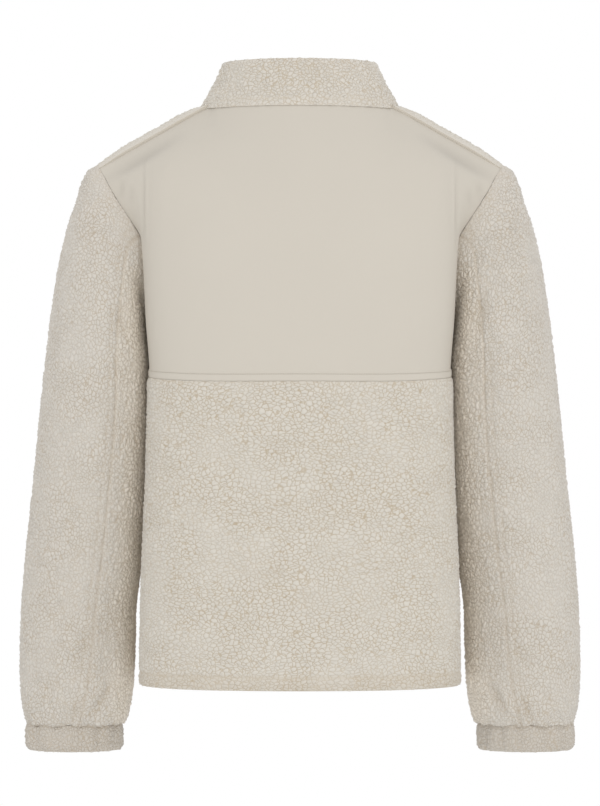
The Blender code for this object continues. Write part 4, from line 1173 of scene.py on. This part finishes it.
def dress(name, panel, normals, materials, pile_tree):
    """One cloth piece: its shell with creases, seams, stitched lines and raised pile."""
    kind = kind_of(name)
    woven = kind == "woven"
    inner_coarse = panel["grid"]
    outer_coarse = inner_coarse + normals * panel["thickness"][:, None, None]
    if kind == "collar":
        outer_coarse[0, :, 2] -= COLLAR_LIP * smooth_step(*LIP_FACING, normals[0, :, 1])
    rows = (band_places if woven else even_places)(inner_coarse, SPACINGS[kind])
    columns = even_places(inner_coarse.swapaxes(0, 1), SPACINGS[kind])
    inner = refined(inner_coarse, rows, columns)
    outer = refined(outer_coarse, rows, columns)
    normals = grid_normals(outer)
    crease = crease_depth_at(outer, normals, CREASES.get(kind, ()))
    pressed = normals * crease[..., None]
    inner = inner - pressed
    outer = outer - pressed
    rise, pile, tan = sewn_lines(name, rows[1], columns[1], panel["seams"])
    rise = rise + gathered(name, rows[1], columns[1])
    if woven:
        rise = WOVEN_SEAM_SHARE * rise + banded(rows[1])[:, None]
    if name.startswith("front"):
        rise = rise - shoulder_taper(name, columns[1], outer[..., 2])
    outer = outer + normals * rise[..., None]
    # Painted warm light on a sleeve's inner flank, where it faces the body, lightening the shade there
    inwards = -normals[..., 0] * np.sign(outer[..., 0])
    painted_flank_light = smooth_step(*FLANK_PAINTED_LIGHT_FACING, inwards) * (kind == "sleeve")
    # Painted shade in the creases, deeper where they press in further
    painted_fold_shade = np.clip(crease / FOLD_DEPTH_FOR_FULL_SHADE, 0.0, 1.0)
    amounts = {"pile": pile, "tan": tan, "painted_flank_light": painted_flank_light, "painted_fold_shade": painted_fold_shade, "out": grid_normals(outer)}
    piece = shell(name + "_cloth", inner, outer, amounts, panel.get("ring", False),
                  [materials[kind], materials["backing"]])
    if not woven:
        height = FLEECE_KINDS[kind][FLEECE_COLUMNS.index("height")] * MM
        piece = grown(piece, pile_tree, {"Height": height, "Frizz": PILE_FRIZZ, "Lumps": PILE_LUMPS,
                                         "Sink": PILE_SINK, "Curls per metre": curls_per_metre(kind)})
    sewn_on(piece, name)
    return outer, rows[1]


def line_object(name, lines):
    """Lines of edges, one through each list of points."""
    mesh = bpy.data.meshes.new(name)
    points = [tuple(point) for line in lines for point in line]
    edges = []
    first = 0
    for line in lines:
        edges += [(first + step, first + step + 1) for step in range(len(line) - 1)]
        first += len(line)
    mesh.from_pydata(points, edges, [])
    thing = bpy.data.objects.new(name, mesh)
    bpy.context.scene.collection.objects.link(thing)
    return thing


def make_topstitch(yoke, row_places, thread):
    """The row of stitches along the yoke's folded edge."""
    row = int(np.argmin(np.abs(row_places - STITCH_LINE)))
    between = slice(STITCH_END_POINTS, -STITCH_END_POINTS)
    line = yoke[row, between] + grid_normals(yoke)[row, between] * STITCH_THREAD
    stitches = grown(line_object("yoke_topstitch", [line]), stitch_group(thread),
                     {"Pitch": STITCH_PITCH, "Thread": STITCH_THREAD, "Share": STITCH_SHARE})
    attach(stitches, "jacket")


def zip_line(x, front, collar):
    """Points up the front at a distance x from the centre: on the left front, then on the collar."""
    rows = []
    for panel in (front[1:], collar[1:-1]):
        edge = panel[:, 0]
        beside = panel[:, 1]
        part = np.clip((x - edge[:, :1]) / (beside[:, :1] - edge[:, :1]), 0, 1)
        rows.append((1 - part) * edge + part * beside)
    line = np.concatenate(rows)
    line[:, 0] = x
    return line


def make_tapes(front, collar, material):
    """The zip's two woven tapes, behind the front edges."""
    inner_edge = zip_line(TAPE_INNER_EDGE, front, collar)
    outer_edge = zip_line(TAPE_HALF_WIDTH, front, collar)
    parts = np.linspace(0.0, 1.0, TAPE_COLUMNS)[None, :, None]
    left = inner_edge[:, None] * (1 - parts) + outer_edge[:, None] * parts
    for name, coarse in (("zip_tape_left", left), ("zip_tape_right", mirrored_grid(left))):
        rows = even_places(coarse, TAPE_SPACING)
        columns = even_places(coarse.swapaxes(0, 1), TAPE_SPACING)
        grid = refined(coarse, rows, columns)
        front_face = grid - grid_normals(grid) * TAPE_DEPTH
        back_face = grid - grid_normals(grid) * (TAPE_DEPTH + ZIP_TAPE)
        piece = shell(name + "_cloth", back_face, front_face, {}, False, [material])
        sewn_on(piece, name)


def make_teeth(front, collar, material):
    """The closed chain: two rows of teeth that lock into each other."""
    centre = zip_line(0.0, front, collar)
    lowest = CHAIN_FOOT_Z + TOOTH_SIZE[2] / 2
    highest = CHAIN_TOP_Z - TOOTH_SIZE[2] / 2
    lines = []
    for side, start in ((1, 0.0), (-1, TOOTH_PITCH / 2)):
        heights = np.arange(lowest + start, highest, TOOTH_PITCH)
        points = np.stack([np.interp(heights, centre[:, 2], centre[:, axis]) for axis in range(3)], axis=1)
        along = np.gradient(points, axis=0)
        out = np.cross((1.0, 0.0, 0.0), along)
        out /= np.linalg.norm(out, axis=1, keepdims=True)
        lines.append(points + out * CHAIN_HEIGHT / 2 + np.array((side * TOOTH_ASIDE, 0.0, 0.0)))
    teeth = grown(line_object("zip_teeth", lines), teeth_group(material),
                  {"Pitch": TOOTH_PITCH, "Size": TOOTH_SIZE, "Crease": TOOTH_CREASE})
    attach(teeth, "jacket")
    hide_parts("zip_chain")


def make_jacket():
    """All the sewn pieces, the yoke's stitches and the zip."""
    fleece = fleece_group()
    weave = weave_group()
    polish = polish_group()
    materials = {kind: fleece_material(kind, fleece) for kind in FLEECE_KINDS}
    materials["woven"] = woven_material("woven yoke", weave)
    materials["backing"] = woven_material("knit backing", weave)
    pile_tree = pile_group()
    panels, half_back, front = body_panels()
    panels.update(sleeve_panels(half_back, front))
    panels.update(collar_panel())
    panels.update(cuff_panels())
    normals = shared_normals(panels)
    outers = {name: dress(name, panel, normals[name], materials, pile_tree) for name, panel in panels.items()}
    make_topstitch(*outers["back_yoke"], woven_material("thread", weave))
    collar = panels["collar"]["grid"]
    make_tapes(front, collar, woven_material("zip tape", weave))
    make_teeth(front, collar, hard_material("zip teeth", polish))
    metal = hard_material("zip metal", polish)
    for node in ("zip_slider", "zip_pull", "zip_box"):
        mesh = bpy.data.objects[node].data
        mesh.materials.clear()
        mesh.materials.append(metal)


# Light, floor and camera

def add_area_light(name, place, aim, size, power):
    """A soft square light, facing its aim."""
    light = bpy.data.lights.new(name, "AREA")
    light.size = size
    light.energy = power
    lamp = bpy.data.objects.new(name, light)
    lamp.location = place
    lamp.rotation_euler = (Vector(aim) - Vector(place)).to_track_quat("-Z", "Y").to_euler()
    bpy.context.scene.collection.objects.link(lamp)


def make_studio():
    """A plain pale floor under the jacket, white surroundings and large soft lights."""
    mesh = bpy.data.meshes.new("floor")
    work = bmesh.new()
    bmesh.ops.create_circle(work, cap_ends=True, segments=FLOOR_SIDES, radius=FLOOR_RADIUS)
    work.to_mesh(mesh)
    work.free()
    floor = bpy.data.objects.new("floor", mesh)
    floor.location = (0, 0, FLOOR_Z)
    bpy.context.scene.collection.objects.link(floor)
    material, tree, shader = principled("pale floor", FLOOR_FINISH)
    place = add(tree, "ShaderNodeTexCoord").outputs["Object"]
    tint = blended(tree, noise(tree, place, *FLOOR_NOISE), *FLOOR_TINTS)
    tree.links.new(tint, shader.inputs["Base Color"])
    mesh.materials.append(material)

    world = bpy.data.worlds.new("studio")
    world.use_nodes = True
    tree = world.node_tree
    seen = add(tree, "ShaderNodeLightPath").outputs["Is Camera Ray"]
    strength = add(tree, "ShaderNodeMapRange", {"Value": seen, "To Min": WORLD_LIGHT, "To Max": 1.0})
    background = tree.nodes["Background"]
    background.inputs["Color"].default_value = (1.0, 1.0, 1.0, 1.0)
    tree.links.new(strength.outputs[0], background.inputs["Strength"])
    bpy.context.scene.world = world
    for name, place, size, power in STUDIO_LIGHTS:
        add_area_light(name, place, LIGHT_AIM, size, power)


def make_camera():
    """The photograph's view, of the jacket's back."""
    camera = bpy.data.cameras.new("camera")
    camera.sensor_width = SENSOR
    camera.lens = FOCAL_PIXELS * SENSOR / PHOTO_HEIGHT_PIXELS
    holder = bpy.data.objects.new("camera", camera)
    holder.location = CAMERA_PLACE
    holder.rotation_euler = [math.radians(turn) for turn in CAMERA_TURN_DEG]
    bpy.context.scene.collection.objects.link(holder)
    bpy.context.scene.camera = holder
    bpy.context.scene.view_settings.view_transform = "Standard"


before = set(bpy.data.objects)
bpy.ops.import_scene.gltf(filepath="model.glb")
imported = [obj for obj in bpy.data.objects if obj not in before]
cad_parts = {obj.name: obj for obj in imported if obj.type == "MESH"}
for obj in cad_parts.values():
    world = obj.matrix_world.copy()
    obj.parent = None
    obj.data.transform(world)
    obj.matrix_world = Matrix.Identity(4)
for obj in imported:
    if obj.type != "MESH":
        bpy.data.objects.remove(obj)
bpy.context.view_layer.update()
make_camera()
make_studio()
make_jacket()
